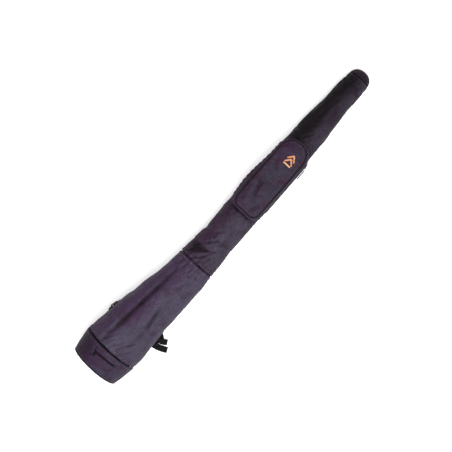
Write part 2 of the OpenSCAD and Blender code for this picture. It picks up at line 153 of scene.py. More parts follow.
def curve_through(points, count):
    """Smooth path of count points through control points."""
    points = np.asarray(points, float)
    lengths = arc_length(points)
    tangents = np.gradient(points, lengths, axis=0)
    return piecewise_cubic(lengths, points, tangents, np.linspace(0, lengths[-1], count))


center_y = smooth_table(CENTER_Y)
radius_y = smooth_table(RADIUS_Y)
height_ratio = smooth_table(HEIGHT_RATIO)
clearance = smooth_table(CLEARANCE)


def radius_z(x):
    return radius_y(x) * height_ratio(x)


def center_z(x):
    return BOTTOM_Z + clearance(x) + radius_z(x)


def case_surface(x, inset, angles):
    """Points (rows along x, columns round the case), inset from the case surface."""
    y = center_y(x)[:, None] + (radius_y(x) - inset)[:, None] * np.cos(angles)
    z = center_z(x)[:, None] + (radius_z(x) - inset)[:, None] * np.sin(angles)
    return np.stack([np.repeat(x[:, None], len(angles), 1), y, z], -1)


def case_angle(x, y, z):
    """Angle round the case, from +Y towards +Z."""
    return np.arctan2((z - center_z(x)) / radius_z(x), (y - center_y(x)) / radius_y(x))


# ---------------------------------------------------------------- wrinkles
def vnoise(points, scale, octaves, seed):
    """Smooth noise at each point; scale is the size of a blob."""
    out = np.zeros(len(points))
    amplitude, total = 1.0, 0.0
    q = points / scale
    for _ in range(octaves):
        out += amplitude * np.array(
            [noise.noise(Vector((p[0] + seed, p[1] - seed, p[2] + 3 * seed))) for p in q])
        total += amplitude
        amplitude *= 0.5
        q = q * 2.03
    return out / total


def crinkle(field, ridge):
    """Sharp valley where a noise field crosses zero, with a ridge beside it."""
    return -bell(field, 0.050) + ridge * bell(field - 0.12, 0.07)


def crease(x, y, x0, y0, x1, y1, width, depth, ridge):
    """Soft valley along a segment, with a ridge beside it."""
    dx, dy = x1 - x0, y1 - y0
    length = math.hypot(dx, dy)
    t = clip01(((x - x0) * dx + (y - y0) * dy) / length**2)
    side = ((x - x0) * dy - (y - y0) * dx) / length
    distance = np.hypot(x - (x0 + t * dx), y - (y0 + t * dy))
    fade = np.sin(np.pi * (0.12 + 0.76 * t)) ** 0.7
    beside = np.hypot(side - width * 1.5, (distance - np.abs(side)).clip(0))
    return (-depth * bell(distance, width) + ridge * bell(beside, width)) * fade


def creases(x, y, table):
    """Sum of the creases in a table of (x0, y0, x1, y1, width, depth, ridge)."""
    return sum(crease(x, y, *row) for row in table)


# ---------------------------------------------------------------- mesh helpers
def link_mesh(name, mesh):
    obj = bpy.data.objects.new(name, mesh)
    scene.collection.objects.link(obj)
    return obj


def new_object(name, verts, faces, smooth=True):
    mesh = bpy.data.meshes.new(name)
    mesh.from_pydata((np.asarray(verts) * MM).tolist(), [], faces)
    mesh.validate()
    mesh.update()
    if smooth:
        mesh.shade_smooth()
    return link_mesh(name, mesh)


def set_st(obj, st):
    """Stores cloth coordinates, in metres, for the woven textures."""
    attribute = obj.data.attributes.new("st", "FLOAT_VECTOR", "POINT")
    attribute.data.foreach_set("vector", (np.asarray(st) * MM).astype(np.float32).ravel())


def set_fold_shade(obj, height, start, full):
    """Stores how deep each point sits in a fold, 0 to 1, for the painted shade in the folds."""
    fold_shade = clip01((-height - start) / full)
    attribute = obj.data.attributes.new("fold_shade", "FLOAT", "POINT")
    attribute.data.foreach_set("value", fold_shade.astype(np.float32))


def grid_object(name, points, columns_wrap=True, st=None, caps=False, rows_wrap=False):
    """Quad mesh from an array (rows, columns, 3); caps close the first and last row."""
    m, n = points.shape[:2]
    faces = []
    for i in range(m if rows_wrap else m - 1):
        i2 = (i + 1) % m
        for j in range(n if columns_wrap else n - 1):
            k = (j + 1) % n
            faces.append((i * n + j, i2 * n + j, i2 * n + k, i * n + k))
    if caps:
        faces.append(tuple(range(n)))
        faces.append(tuple(reversed(range((m - 1) * n, m * n))))
    obj = new_object(name, points.reshape(-1, 3), faces)
    if st is not None:
        set_st(obj, st.reshape(-1, 3))
    return obj


def grid_st(along, across):
    """Cloth coordinates for a grid, from two arrays that broadcast to its shape."""
    along, across = np.broadcast_arrays(along, across)
    return np.stack([along, across, np.zeros(along.shape)], -1)


def fix_normals(obj):
    bm = bmesh.new()
    bm.from_mesh(obj.data)
    bmesh.ops.recalc_face_normals(bm, faces=bm.faces)
    bm.to_mesh(obj.data)
    bm.free()
    obj.data.update()


def add_modifier(obj, kind, **settings):
    modifier = obj.modifiers.new(kind.lower(), kind)
    for key, value in settings.items():
        setattr(modifier, key, value)


def apply_modifiers(obj):
    depsgraph = bpy.context.evaluated_depsgraph_get()
    mesh = bpy.data.meshes.new_from_object(
        obj.evaluated_get(depsgraph), preserve_all_data_layers=True, depsgraph=depsgraph)
    obj.modifiers.clear()
    obj.data = mesh


def subdivide(obj):
    add_modifier(obj, "SUBSURF", levels=1, render_levels=1)
    apply_modifiers(obj)


def thicken(obj, thickness, offset):
    add_modifier(obj, "SOLIDIFY", thickness=thickness * MM, offset=offset)
    apply_modifiers(obj)


def read_vectors(vertices, field):
    values = np.zeros(len(vertices) * 3)
    vertices.foreach_get(field, values)
    return values.reshape(-1, 3)


def points_of(obj):
    return read_vectors(obj.data.vertices, "co") / MM


def set_points(obj, points):
    obj.data.vertices.foreach_set("co", (points * MM).ravel())
    obj.data.update()


def tree_of(obj):
    mesh = obj.data
    return BVHTree.FromPolygons([v.co.copy() for v in mesh.vertices],
                                [tuple(p.vertices) for p in mesh.polygons])


def ring(center, radius, side, up, count):
    """Circle of points in the plane of side and up."""
    angles = [2 * math.pi * k / count for k in range(count)]
    return [center + radius * (math.cos(a) * side + math.sin(a) * up) for a in angles]


def tube_along(name, path, radius, sides, closed=False):
    """Round cord along a path."""
    path = np.asarray(path, float)
    count = len(path)
    radius = np.broadcast_to(radius, count)
    if closed:
        tangents = np.roll(path, -1, 0) - np.roll(path, 1, 0)
    else:
        tangents = np.gradient(path, axis=0)
    tangents = unit(tangents)
    up = np.array([0.0, 0, 1]) if abs(tangents[0][2]) < 0.9 else np.array([1.0, 0, 0])
    side = unit(np.cross(tangents[0], up))
    rings = []
    for i in range(count):
        side = unit(side - tangents[i] * (side @ tangents[i]))
        rings.append(ring(path[i], radius[i], side, np.cross(tangents[i], side), sides))
    obj = grid_object(name, np.array(rings), caps=not closed, rows_wrap=closed)
    fix_normals(obj)
    return obj


def thread_faces(base, rings, sides):
    """Faces of one capped thread whose vertices start at base."""
    faces = []
    for j in range(base, base + (rings - 1) * sides, sides):
        for k in range(sides):
            k2 = (k + 1) % sides
            faces.append((j + k, j + k2, j + sides + k2, j + sides + k))
    last = base + (rings - 1) * sides
    faces.append(tuple(base + k for k in range(sides - 1, -1, -1)))
    faces.append(tuple(last + k for k in range(sides)))
    return faces


def join_objects(name, objects):
    """One mesh from several; the sources are removed."""
    verts, faces, base = [], [], 0
    for obj in objects:
        points = points_of(obj)
        verts.append(points)
        for polygon in obj.data.polygons:
            faces.append(tuple(base + v for v in polygon.vertices))
        base += len(points)
        bpy.data.objects.remove(obj)
    return new_object(name, np.concatenate(verts), faces)


# ---------------------------------------------------------------- shader graphs (metres)
class Graph:
    """Short calls for building a node tree; values may be numbers, colours or sockets."""

    def __init__(self, tree):
        self.tree = tree

    def feed(self, socket, value):
        if isinstance(value, bpy.types.NodeSocket):
            self.tree.links.new(value, socket)
        elif isinstance(value, tuple):
            socket.default_value = (*value, 1)
        else:
            socket.default_value = value

    def set(self, node, **values):
        """Sets inputs, written with _ for a space, or else node properties."""
        for key, value in values.items():
            title = key.replace("_", " ")
            if title in node.inputs.keys():
                self.feed(node.inputs[title], value)
            else:
                setattr(node, key, value)

    def node(self, kind, **values):
        node = self.tree.nodes.new("ShaderNode" + kind)
        self.set(node, **values)
        return node

    def math(self, operation, *values):
        node = self.node("Math", operation=operation)
        for socket, value in zip(node.inputs, values):
            self.feed(socket, value)
        return node.outputs[0]

    def add(self, a, b):
        return self.math("ADD", a, b)

    def sub(self, a, b):
        return self.math("SUBTRACT", a, b)

    def mul(self, a, b):
        return self.math("MULTIPLY", a, b)

    def scaled(self, value, gain, offset):
        return self.add(self.mul(value, gain), offset)

    def centered(self, value, gain):
        """A 0 to 1 value moved to the middle of zero and scaled."""
        return self.mul(self.sub(value, 0.5), gain)

    def xyz(self, vector):
        return self.node("SeparateXYZ", Vector=vector).outputs

    def coords(self, use_st=False):
        if use_st:
            return self.node("Attribute", attribute_name="st").outputs["Vector"]
        return self.node("TexCoord").outputs["Object"]

    def noise(self, vector, scale, detail, roughness):
        return self.node("TexNoise", Scale=scale, Detail=detail, Roughness=roughness,
                         Vector=vector).outputs["Fac"]

    def ramp(self, factor, stops):
        """Colour ramp from (position, colour) stops."""
        node = self.node("ValToRGB")
        elements = node.color_ramp.elements
        while len(elements) < len(stops):
            elements.new(0.5)
        for element, (position, color) in zip(elements, stops):
            element.position = position
            element.color = (*color, 1)
        self.feed(node.inputs[0], factor)
        return node.outputs[0]

    def mask(self, factor, low, high, peak=1.0):
        """Grey ramp from 0 at low to peak at high."""
        return self.ramp(factor, [(low, (0, 0, 0)), (high, (peak,) * 3)])

    def smooth_range(self, value, low, high, to=(0.0, 1.0)):
        node = self.node("MapRange", interpolation_type="SMOOTHSTEP")
        for socket, item in zip(node.inputs, (value, low, high, *to)):
            self.feed(socket, item)
        return node.outputs[0]

    def mix(self, factor, a, b, mode="MIX"):
        node = self.node("Mix", data_type="RGBA", blend_type=mode)
        # sockets 0, 6 and 7 are the factor and the two colours
        for index, value in ((0, factor), (6, a), (7, b)):
            self.feed(node.inputs[index], value)
        return node.outputs[2]

    def bump(self, height, strength, distance, normal=None):
        node = self.node("Bump", Strength=strength, Distance=distance, Height=height)
        if normal is not None:
            self.feed(node.inputs["Normal"], normal)
        return node.outputs[0]


class Material(Graph):
    """A material that holds one Principled surface."""

    def __init__(self, name):
        self.data = bpy.data.materials.new(name)
        self.data.use_nodes = True
        super().__init__(self.data.node_tree)
        self.tree.nodes.clear()
        output = self.node("OutputMaterial")
        self.surface = self.node("BsdfPrincipled")
        self.feed(output.inputs[0], self.surface.outputs[0])

    def finish(self, **values):
        self.set(self.surface, **values)
        return self.data


def tint(color, gain, lift=0.0):
    return tuple(c * gain + lift for c in color)


# ---------------------------------------------------------------- material kinds
def weave_height(g, vector, pitch):
    """Over and under threads, 0 to 1."""
    axes = g.xyz(vector)
    a = g.mul(axes[0], math.pi / pitch)
    b = g.mul(axes[1], math.pi / pitch)
    checker = g.mul(g.math("SINE", a), g.math("SINE", b))
    thread = g.math("ABSOLUTE", g.math("SINE", g.mul(axes[0], 2 * math.pi / pitch)))
    # the checker fills 0 to 0.76 and the single threads add up to 0.24
    return g.add(g.mul(g.add(checker, 1.0), 0.38), g.mul(thread, 0.24))


def fabric_color(g, obj, weave, big, slate, violet, deep, mottle, shade_turn_range, fade, sheen_blotch_mix):
    fine = g.noise(obj, scale=260, detail=3, roughness=0.6)
    normal = g.xyz(g.node("NewGeometry").outputs["Normal"])
    # painted light and shade over the cloth's two tones: violet grows towards +Y and away from the
    # top, the shaded side, and slate stays where the lamps fall, broken up by the large noise
    shaded_facing = g.add(normal[1], g.mul(g.sub(1.0, normal[2]), 0.35))
    shaded_facing = g.add(shaded_facing, g.centered(big, gain=2.6))
    color = g.mix(g.smooth_range(shaded_facing, *shade_turn_range), slate, violet)
    worn = g.noise(obj, scale=mottle * 2.3, detail=4, roughness=0.6)
    color = g.mix(g.mask(worn, low=0.50, high=0.66, peak=0.8), color, deep)
    # painted highlight on the raised threads, then lighter specks
    color = g.mix(g.mul(weave, 0.30), color, tint(slate, gain=1.7, lift=0.002))
    specks = g.mask(fine, low=0.60, high=0.8)
    color = g.mix(g.mul(specks, 0.22), color, tint(slate, gain=2.0, lift=0.004))
    # painted shade in the folds: the colour darkens with the stored fold depth
    fold_shade = g.node("Attribute", attribute_name="fold_shade").outputs["Fac"]
    color = g.mix(g.mul(fold_shade, 0.95), color, tint(deep, gain=0.20))
    # uneven thread, then soft blotches of painted sheen: (position, brightness multiplier)
    grain = g.ramp(g.noise(obj, scale=165, detail=5, roughness=0.75),
                   [(0.30, (0.62, 0.60, 0.62)), (0.50, (1.0, 1.0, 1.0)), (0.70, (1.55, 1.55, 1.6))])
    color = g.mix(0.75, color, grain, "MULTIPLY")
    sheen_blotch = g.ramp(g.noise(obj, scale=25, detail=4, roughness=0.65),
                    [(0.36, (0.66, 0.64, 0.66)), (0.50, (1.0, 1.0, 1.0)),
                     (0.64, (1.32, 1.33, 1.36))])
    color = g.mix(sheen_blotch_mix, color, sheen_blotch, "MULTIPLY")
    # painted shade: darker over the given ranges of x and y
    if fade:
        position = g.xyz(obj)
        along = g.smooth_range(position[0], *fade["x"])
        wavy_y = g.add(position[1], g.centered(big, gain=0.05))
        across = g.smooth_range(wavy_y, *fade["y"])
        # at least a quarter of the painted shade shows at any Y
        amount = g.mul(g.scaled(across, gain=0.75, offset=0.25), along)
        color = g.mix(g.mul(amount, fade["amount"]), color, tint(deep, gain=0.1))
    return color


def fabric(name, slate, violet, deep, rough=(0.52, 0.74), weave=0.0011, st=True, crinkle=1.0,
           sheen=0.0, mottle=7.0, specular=0.14, shade_turn_range=(-0.25, 0.75), fade=None,
           sheen_blotch_mix=0.3):
    """Shot nylon of two tones laid out as painted light and shade: slate facing up and to -Y, violet
    turned away, deep in worn patches.

    fade paints shade on the cloth over ranges of x and y (metres) by an amount.
    """
    g = Material(name)
    vector = g.coords(st)
    obj = g.coords()
    height = weave_height(g, vector, weave)
    big = g.noise(obj, scale=mottle, detail=5, roughness=0.6)
    streak = g.noise(obj, scale=38, detail=6, roughness=0.7)
    color = fabric_color(g, obj, height, big, slate, violet, deep, mottle, shade_turn_range, fade,
                         sheen_blotch_mix)
    lines = g.noise(obj, scale=23, detail=3, roughness=0.55)
    # thin creases where the noise passes its middle; the power sharpens them
    line = g.sub(1.0, g.math("ABSOLUTE", g.centered(lines, gain=5.0)))
    line = g.math("MAXIMUM", g.math("POWER", line, 3.0), 0.0)
    normal = g.bump(g.mul(line, -1.0), strength=0.45 * crinkle, distance=0.0022)
    normal = g.bump(streak, strength=0.32 * crinkle, distance=0.006, normal=normal)
    small = g.noise(obj, scale=110, detail=5, roughness=0.6)
    normal = g.bump(small, strength=0.28 * crinkle, distance=0.0022, normal=normal)
    return g.finish(
        Base_Color=color,
        Roughness=g.scaled(streak, gain=rough[1] - rough[0], offset=rough[0]),
        Specular_IOR_Level=specular,
        Sheen_Weight=sheen,
        Sheen_Roughness=0.42,
        Sheen_Tint=(0.5, 0.45, 0.65),
        Normal=g.bump(height, strength=0.55, distance=0.0005, normal=normal))


def ribbed(name, dark, light, pitch=0.0013, st=True):
    """Webbing and tape: ribs with a weaker cross thread."""
    g = Material(name)
    axes = g.xyz(g.coords(st))
    rib = g.math("SINE", g.mul(axes[0], 2 * math.pi / pitch))
    cross = g.math("SINE", g.mul(axes[1], 2 * math.pi / (pitch * 1.6)))
    # offset and gain bring the sum of the two waves to 0 to 1
    height = g.mul(g.add(g.add(rib, g.mul(cross, 0.7)), 1.7), 0.294)
    wear = g.noise(g.coords(), scale=45, detail=5, roughness=0.6)
    # painted shade in the grooves and painted highlight on the ribs: the colour follows the rib
    # height
    color = g.mix(height, dark, light)
    worn_normal = g.bump(wear, strength=0.2, distance=0.002)
    return g.finish(
        Base_Color=g.mix(g.mul(wear, 0.5), color, tint(dark, gain=0.5)),
        Roughness=g.scaled(wear, gain=0.25, offset=0.48),
        Sheen_Weight=0.015,
        Sheen_Roughness=0.4,
        Specular_IOR_Level=0.1,
        Normal=g.bump(height, strength=0.7, distance=0.0006, normal=worn_normal))


def plastic(name, color, specular):
    g = Material(name)
    obj = g.coords()
    grain = g.noise(obj, scale=420, detail=3, roughness=0.6)
    wear = g.noise(obj, scale=24, detail=5, roughness=0.65)
    return g.finish(
        Base_Color=g.mix(g.mask(wear, low=0.4, high=0.75), color,
                         tint(color, gain=1.7, lift=0.004)),
        Roughness=g.scaled(wear, gain=0.25, offset=0.4),
        Specular_IOR_Level=specular,
        Normal=g.bump(grain, strength=0.25, distance=0.0003))


def metal(name, color, rough):
    """Dark metal with tarnish and bright edges."""
    g = Material(name)
    wear = g.noise(g.coords(), scale=160, detail=6, roughness=0.7)
    edge = g.mask(g.node("NewGeometry").outputs["Pointiness"], low=0.48, high=0.56)
    tarnished = g.mix(g.mask(wear, low=0.35, high=0.7), color, tint(color, gain=0.45))
    return g.finish(
        Base_Color=g.mix(edge, tarnished, tint(color, gain=2.6, lift=0.05)),
        Metallic=0.9,
        Roughness=g.scaled(wear, gain=0.35, offset=rough),
        Normal=g.bump(wear, strength=0.15, distance=0.0003))


def foam_material(name, color):
    g = Material(name)
    cells = g.node("TexVoronoi", Scale=620.0, Vector=g.coords()).outputs["Distance"]
    return g.finish(
        Base_Color=g.mix(cells, tint(color, gain=0.55), color),
        Roughness=0.92,
        Normal=g.bump(cells, strength=0.5, distance=0.0007))


def board_material(name, color):
    g = Material(name)
    fibre = g.noise(g.coords(), scale=340, detail=6, roughness=0.75)
    return g.finish(
        Base_Color=g.mix(fibre, tint(color, gain=0.5), color),
        Roughness=0.85,
        Normal=g.bump(fibre, strength=0.3, distance=0.0006))


def thread(name, color, light):
    g = Material(name)
    obj = g.coords()
    shade = g.noise(obj, scale=300, detail=3, roughness=0.6)
    fibre = g.noise(obj, scale=1500, detail=2, roughness=0.5)
    return g.finish(
        Base_Color=g.mix(g.mask(shade, low=0.35, high=0.65), color, light),
        Roughness=0.42,
        Sheen_Weight=0.4,
        Normal=g.bump(fibre, strength=0.4, distance=0.0002))


WEB = dict(dark=(0.002, 0.002, 0.0025), light=(0.009, 0.0085, 0.010))
MATERIALS = {
    # the fade paints shade on the narrow end and the +Y side of the tube
    "tube": fabric(
        "tube_nylon", slate=(0.030, 0.023, 0.037), violet=(0.021, 0.006, 0.021),
        deep=(0.012, 0.002, 0.009), shade_turn_range=(-0.35, 0.55), sheen_blotch_mix=0.5,
        fade=dict(x=(0.88, 1.14), y=(-0.035, 0.012), amount=0.92)),
    "flare": fabric(
        "flare_nylon", slate=(0.038, 0.031, 0.051), violet=(0.030, 0.012, 0.036),
        deep=(0.022, 0.005, 0.020), shade_turn_range=(-0.15, 0.70)),
    "tip": fabric(
        "tip_nylon", slate=(0.018, 0.010, 0.020), violet=(0.020, 0.006, 0.019),
        deep=(0.007, 0.001, 0.005)),
    "pocket": fabric(
        "pocket_nylon", slate=(0.024, 0.018, 0.031), violet=(0.022, 0.006, 0.023),
        deep=(0.024, 0.002, 0.013), mottle=11.0, shade_turn_range=(-0.15, 0.75), crinkle=1.5),
    # the fade paints shade on the +Y side of the cap
    "cap": fabric(
        "cap_nylon", slate=(0.029, 0.021, 0.041), violet=(0.023, 0.007, 0.025),
        deep=(0.022, 0.002, 0.014), mottle=10.0, shade_turn_range=(-0.25, 0.6),
        fade=dict(x=(-0.3, -0.2), y=(0.015, 0.09), amount=0.5)),
    "base": fabric(
        "base_nylon", slate=(0.014, 0.011, 0.017), violet=(0.011, 0.006, 0.012),
        deep=(0.008, 0.003, 0.008), st=False, weave=0.0016, rough=(0.72, 0.88),
        specular=0.1, crinkle=0.4),
    "lining": fabric(
        "lining_cloth", slate=(0.018, 0.017, 0.021), violet=(0.014, 0.012, 0.016),
        deep=(0.009, 0.008, 0.010), st=False, weave=0.0009, sheen=0.2, crinkle=0.6),
    "pad": fabric(
        "pad_mesh", slate=(0.012, 0.011, 0.014), violet=(0.009, 0.007, 0.010),
        deep=(0.006, 0.004, 0.006), st=False, weave=0.002, sheen=0.1),
    "edging": ribbed("edging_cloth", dark=(0.007, 0.003, 0.008), light=(0.017, 0.010, 0.019),
                     pitch=0.0012, st=False),
    "piping": ribbed("piping_cloth", dark=(0.004, 0.002, 0.005), light=(0.011, 0.007, 0.013),
                     pitch=0.0012, st=False),
    "web": ribbed("webbing_ribbed", **WEB),
    "web_cad": ribbed("webbing_ribbed_b", **WEB, st=False),
    "tape": ribbed("zip_tape_woven", dark=(0.002, 0.002, 0.0025),
                   light=(0.007, 0.0065, 0.008), pitch=0.0009, st=False),
    "grosgrain": ribbed("grosgrain_binding", dark=(0.008, 0.004, 0.010),
                        light=(0.028, 0.018, 0.031), pitch=0.0019),
    "coil": plastic("zip_coil_nylon", color=(0.003, 0.003, 0.0035), specular=0.15),
    "buckle": plastic("buckle_acetal", color=(0.0025, 0.0025, 0.003), specular=0.10),
    "hoop": plastic("hoop_plastic", color=(0.012, 0.012, 0.013), specular=0.5),
    "metal": metal("zip_metal_black", color=(0.10, 0.10, 0.105), rough=0.22),
    "nickel": metal("zip_metal_nickel", color=(0.16, 0.16, 0.165), rough=0.20),
    "foam": foam_material("foam_cell", color=(0.16, 0.16, 0.18)),
    "board": board_material("fibreboard", color=(0.20, 0.14, 0.09)),
    "cord": ribbed("cord_braid", dark=(0.006, 0.006, 0.007), light=(0.03, 0.03, 0.033),
                   pitch=0.0016, st=False),
    "cord_light": ribbed("cord_braid_light", dark=(0.045, 0.045, 0.05),
                         light=(0.13, 0.13, 0.14), pitch=0.0016, st=False),
    "orange": thread("thread_orange", color=(0.50, 0.17, 0.05), light=(0.72, 0.33, 0.14)),
    "tan": thread("thread_tan", color=(0.62, 0.32, 0.14), light=(0.80, 0.50, 0.27)),
    "stitch": thread("thread_dark", color=(0.018, 0.014, 0.020), light=(0.050, 0.042, 0.058)),
}


def paint(obj, material):
    obj.data.materials.clear()
    obj.data.materials.append(MATERIALS[material])


def piece(obj, material, body, slot, *replaced):
    """Paints an object, ties it to a moving body and names the CAD pieces it replaces."""
    paint(obj, material)
    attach(obj, body)
    if replaced:
        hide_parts(*replaced)


# ---------------------------------------------------------------- cloth simulation
def cloth(obj, pins, pressure, shrink, limit, bend):
    """Inflates obj as cloth with pinned vertices; no point moves more than limit."""
    frames = 20
    rest = points_of(obj)
    group = obj.vertex_groups.new(name="pin")
    rounded = np.round(pins, 2)
    for weight in sorted(set(np.round(pins[pins > 0.001], 2))):
        members = np.nonzero(np.abs(rounded - weight) < 1e-6)[0].tolist()
        group.add(members, float(weight), "REPLACE")
    modifier = obj.modifiers.new("cloth", "CLOTH")
    s = modifier.settings
    s.quality = 5
    s.mass = 0.25
    s.tension_stiffness = s.compression_stiffness = 15.0
    s.shear_stiffness = 7.5
    s.bending_stiffness = bend
    s.air_damping = 2.0
    s.effector_weights.gravity = 0
    s.use_pressure = True
    s.uniform_pressure_force = pressure
    s.shrink_min = shrink
    s.vertex_group_mass = "pin"
    modifier.point_cache.frame_start = 1
    modifier.point_cache.frame_end = frames
    for frame in range(1, frames + 1):
        scene.frame_set(frame)
    evaluated = obj.evaluated_get(bpy.context.evaluated_depsgraph_get())
    points = read_vectors(evaluated.data.vertices, "co") / MM
    obj.modifiers.remove(modifier)
    scene.frame_set(1)
    # a solve that blew up leaves the rest shape
    if not np.isfinite(points).all():
        return
    move = points - rest
    length = np.linalg.norm(move, axis=1)
    keep = np.where(length > 1e-6,
                    limit * np.tanh(length / limit) / np.maximum(length, 1e-6), 0)
    set_points(obj, rest + move * keep[:, None])


# ---------------------------------------------------------------- skins of flare and tube
# (seam x, reach, pitch, height, phase)
PUCKERS = [
    (SEAM_X, 30, 24, 2.0, 0.4),
    (SEAM_X, 12, 11, 0.8, 2.0),
    (TIP_X, 20, 17, 1.2, 1.1),
    (MOUTH_X, 17, 21, 1.0, 4.2)]
POCKET_PUCKER = (793, 24, 26, 0.9, 2.2)

# Corners (x, y) of a sharp dent on the tube side of the cross seam; its tip points to -Y.
DENT = [(549.0, 38.0), (602.0, -24.0), (600.0, 46.0)]

# Creases on the top of the case: (x0, y0, x1, y1, width, depth, ridge)
CASE_CREASES = [
    # long soft folds down the flare
    (470, 20, 108, 46, 13, 4.6, 2.2), (420, -42, 130, -48, 17, 2.4, 1.2),
    (330, 50, 190, 76, 9, 1.6, 0.8), (505, -62, 400, -20, 9, 1.6, 0.9),
    (300, -6, 225, -30, 8, 1.1, 0.6),
    # two edges of the dent, and short ones round it
    (*DENT[0], *DENT[1], 5, 3.0, 1.8), (*DENT[1], *DENT[2], 5, 2.4, 1.8),
    (548, 4, 580, -28, 5, 2.4, 1.3), (566, -18, 640, -48, 6, 2.0, 1.2),
    (612, 12, 662, -30, 5, 2.2, 1.4), (640, 46, 704, 28, 7, 1.9, 1.0),
    (625, -6, 650, 20, 4, 1.6, 1.0), (548, -34, 600, -52, 6, 1.8, 1.0),
    (655, 18, 700, -20, 7, 1.8, 1.0), (690, -52, 760, -30, 8, 1.7, 0.9),
    (720, 30, 778, 6, 7, 1.5, 0.9),
    # drawn in beside the low-X end of the pocket
    (788, 46, 788, -66, 4.5, 3.6, 0.8),
    # short ones round the mouth
    (128, -22, 172, -60, 5, 1.9, 1.1), (122, 4, 160, -30, 5, 1.6, 1.0),
    (118, -48, 150, -78, 5, 1.6, 1.0), (176, -8, 240, -34, 7, 1.5, 0.9),
    (120, 40, 158, 22, 5, 1.4, 0.8), (245, -52, 345, -30, 8, 1.5, 0.9),
    # between the cross seam and the long fold
    (522, 26, 488, 36, 5, 2.2, 1.0), (520, 4, 486, 12, 4, 1.6, 0.9),
    (520, -24, 490, -16, 5, 1.4, 0.8),
    # lengthwise on the narrow end
    (1150, 22, 1330, 10, 8, 1.8, 1.0), (1180, -36, 1420, -20, 9, 1.6, 0.9),
    (1300, 26, 1450, 14, 6, 1.2, 0.7), (1140, -10, 1210, -44, 6, 1.3, 0.7)]


def skin(name, x, columns):
    """Skin of the case at the rows x, with both hems turned in."""
    # hem rows: (distance past the end row, inset)
    hem = ((-3.0, 3.6), (-0.3, 3.0), (0.1, 1.2))
    rows = [(x[0] - past, inset) for past, inset in hem]
    rows += [(station, 0.0) for station in x]
    rows += [(x[-1] + past, inset) for past, inset in reversed(hem)]
    stations, insets = np.array(rows).T
    angles = turn(columns)
    obj = grid_object(name, case_surface(stations, insets, angles),
                      st=grid_st(stations[:, None], angles * 75))
    fix_normals(obj)
    return obj


def dent_depth(x, y):
    """Distance inside the dent's triangle, negative outside."""
    sides = []
    for (px, py), (qx, qy) in zip(DENT, DENT[1:] + DENT[:1]):
        cross = (y - py) * (qx - px) - (x - px) * (qy - py)
        sides.append(cross / math.hypot(qx - px, qy - py))
    return np.minimum.reduce(sides)


def case_folds(points, angle):
    """Outward movement for points on the case: puckers at the seams, folds and creases."""
    x, y = points[:, 0], points[:, 1]
    round_case = angle * radius_y(x)
    top = clip01(np.sin(angle) * 2.2 + 0.35)
    v = 1.5 * vnoise(points, 95, 3, 1.7) + 0.75 * vnoise(points * np.array([0.6, 1, 1]), 27, 3, 5.1)
    # crisp little creases in patches, more of them on the tube than on the flare
    lines = vnoise(points * np.array([0.75, 1, 1]), 44, 2, 9.7)
    patches = clip01(vnoise(points, 85, 2, 12.3) * 2.2 + 0.45)
    v += np.where(x > SEAM_X, 1.7, 0.8) * patches * crinkle(lines, 0.55)

    def pucker(seam, reach, pitch, height, phase):
        near = np.exp(-np.abs(x - seam) / reach)
        wobble = 2.6 * vnoise(points, 60, 2, phase + 3.0)
        wave = np.sin(2 * np.pi * round_case / pitch + wobble + phase)
        return height * near * wave * (0.65 + 0.7 * vnoise(points, 40, 2, phase))

    for row in PUCKERS:
        v += pucker(*row)
    v += pucker(*POCKET_PUCKER) * (x < 800)
    # the cross seam is drawn in between two raised welts
    v += -2.4 * bell(x - SEAM_X, 3.2) + 0.9 * bell(np.abs(x - SEAM_X) - 8.5, 4.0)
    v += top * -5.2 * clip01((dent_depth(x, y) + 1.5) / 15) ** 0.7
    v += top * creases(x, y, CASE_CREASES)
    hem = clip01(np.minimum(np.abs(x - MOUTH_X), np.abs(x - 1462)) / 8)
    return 1.3 * v * (0.35 + 0.65 * hem)


def fold_skin(obj, hem=None):
    """Adds the folds to a subdivided skin, held back at the hem."""
    co = points_of(obj)
    x = co[:, 0]
    a = case_angle(x, co[:, 1], co[:, 2])
    a = np.where(a < -np.pi / 2, a + 2 * np.pi, a)
    normal = unit(np.stack([np.zeros_like(x), np.cos(a) / radius_y(x), np.sin(a) / radius_z(x)], 1))
    v = case_folds(co, a)
    # fold depth, which the cloth material paints as shade in the folds
    set_fold_shade(obj, v, start=1.3, full=4.5)
    if hem is not None:
        v *= clip01(np.abs(x - hem) / 4.0) * 0.85 + 0.15
    co = co + normal * v[:, None]
    # the padding under the cloth resists folds deeper than 6.3
    middle = np.stack([center_y(x), center_z(x)], 1)
    offset = co[:, 1:] - middle
    level = np.hypot(offset[:, 0] / radius_y(x), offset[:, 1] / radius_z(x))
    limit = 1 - 6.3 / radius_z(x)
    padded = ((x > 103) & (x < 532)) | ((x > 538) & (x < 1460))
    push = np.where(padded & (level < limit), 1 + (limit / level - 1) * 0.9, 1.0)
    co[:, 1:] = middle + offset * push[:, None]
    set_points(obj, co)
    obj.data.shade_smooth()


def skin_pins(obj, seams, reach):
    """Pin weights that fade out away from the seams."""
    x = points_of(obj)[:, 0]
    weight = np.zeros(len(x))
    for seam in seams:
        weight = np.maximum(weight, clip01(1 - (np.abs(x - seam) - 3) / reach) ** 1.5)
    return np.where(weight > 0.93, 1.0, weight * 0.9)


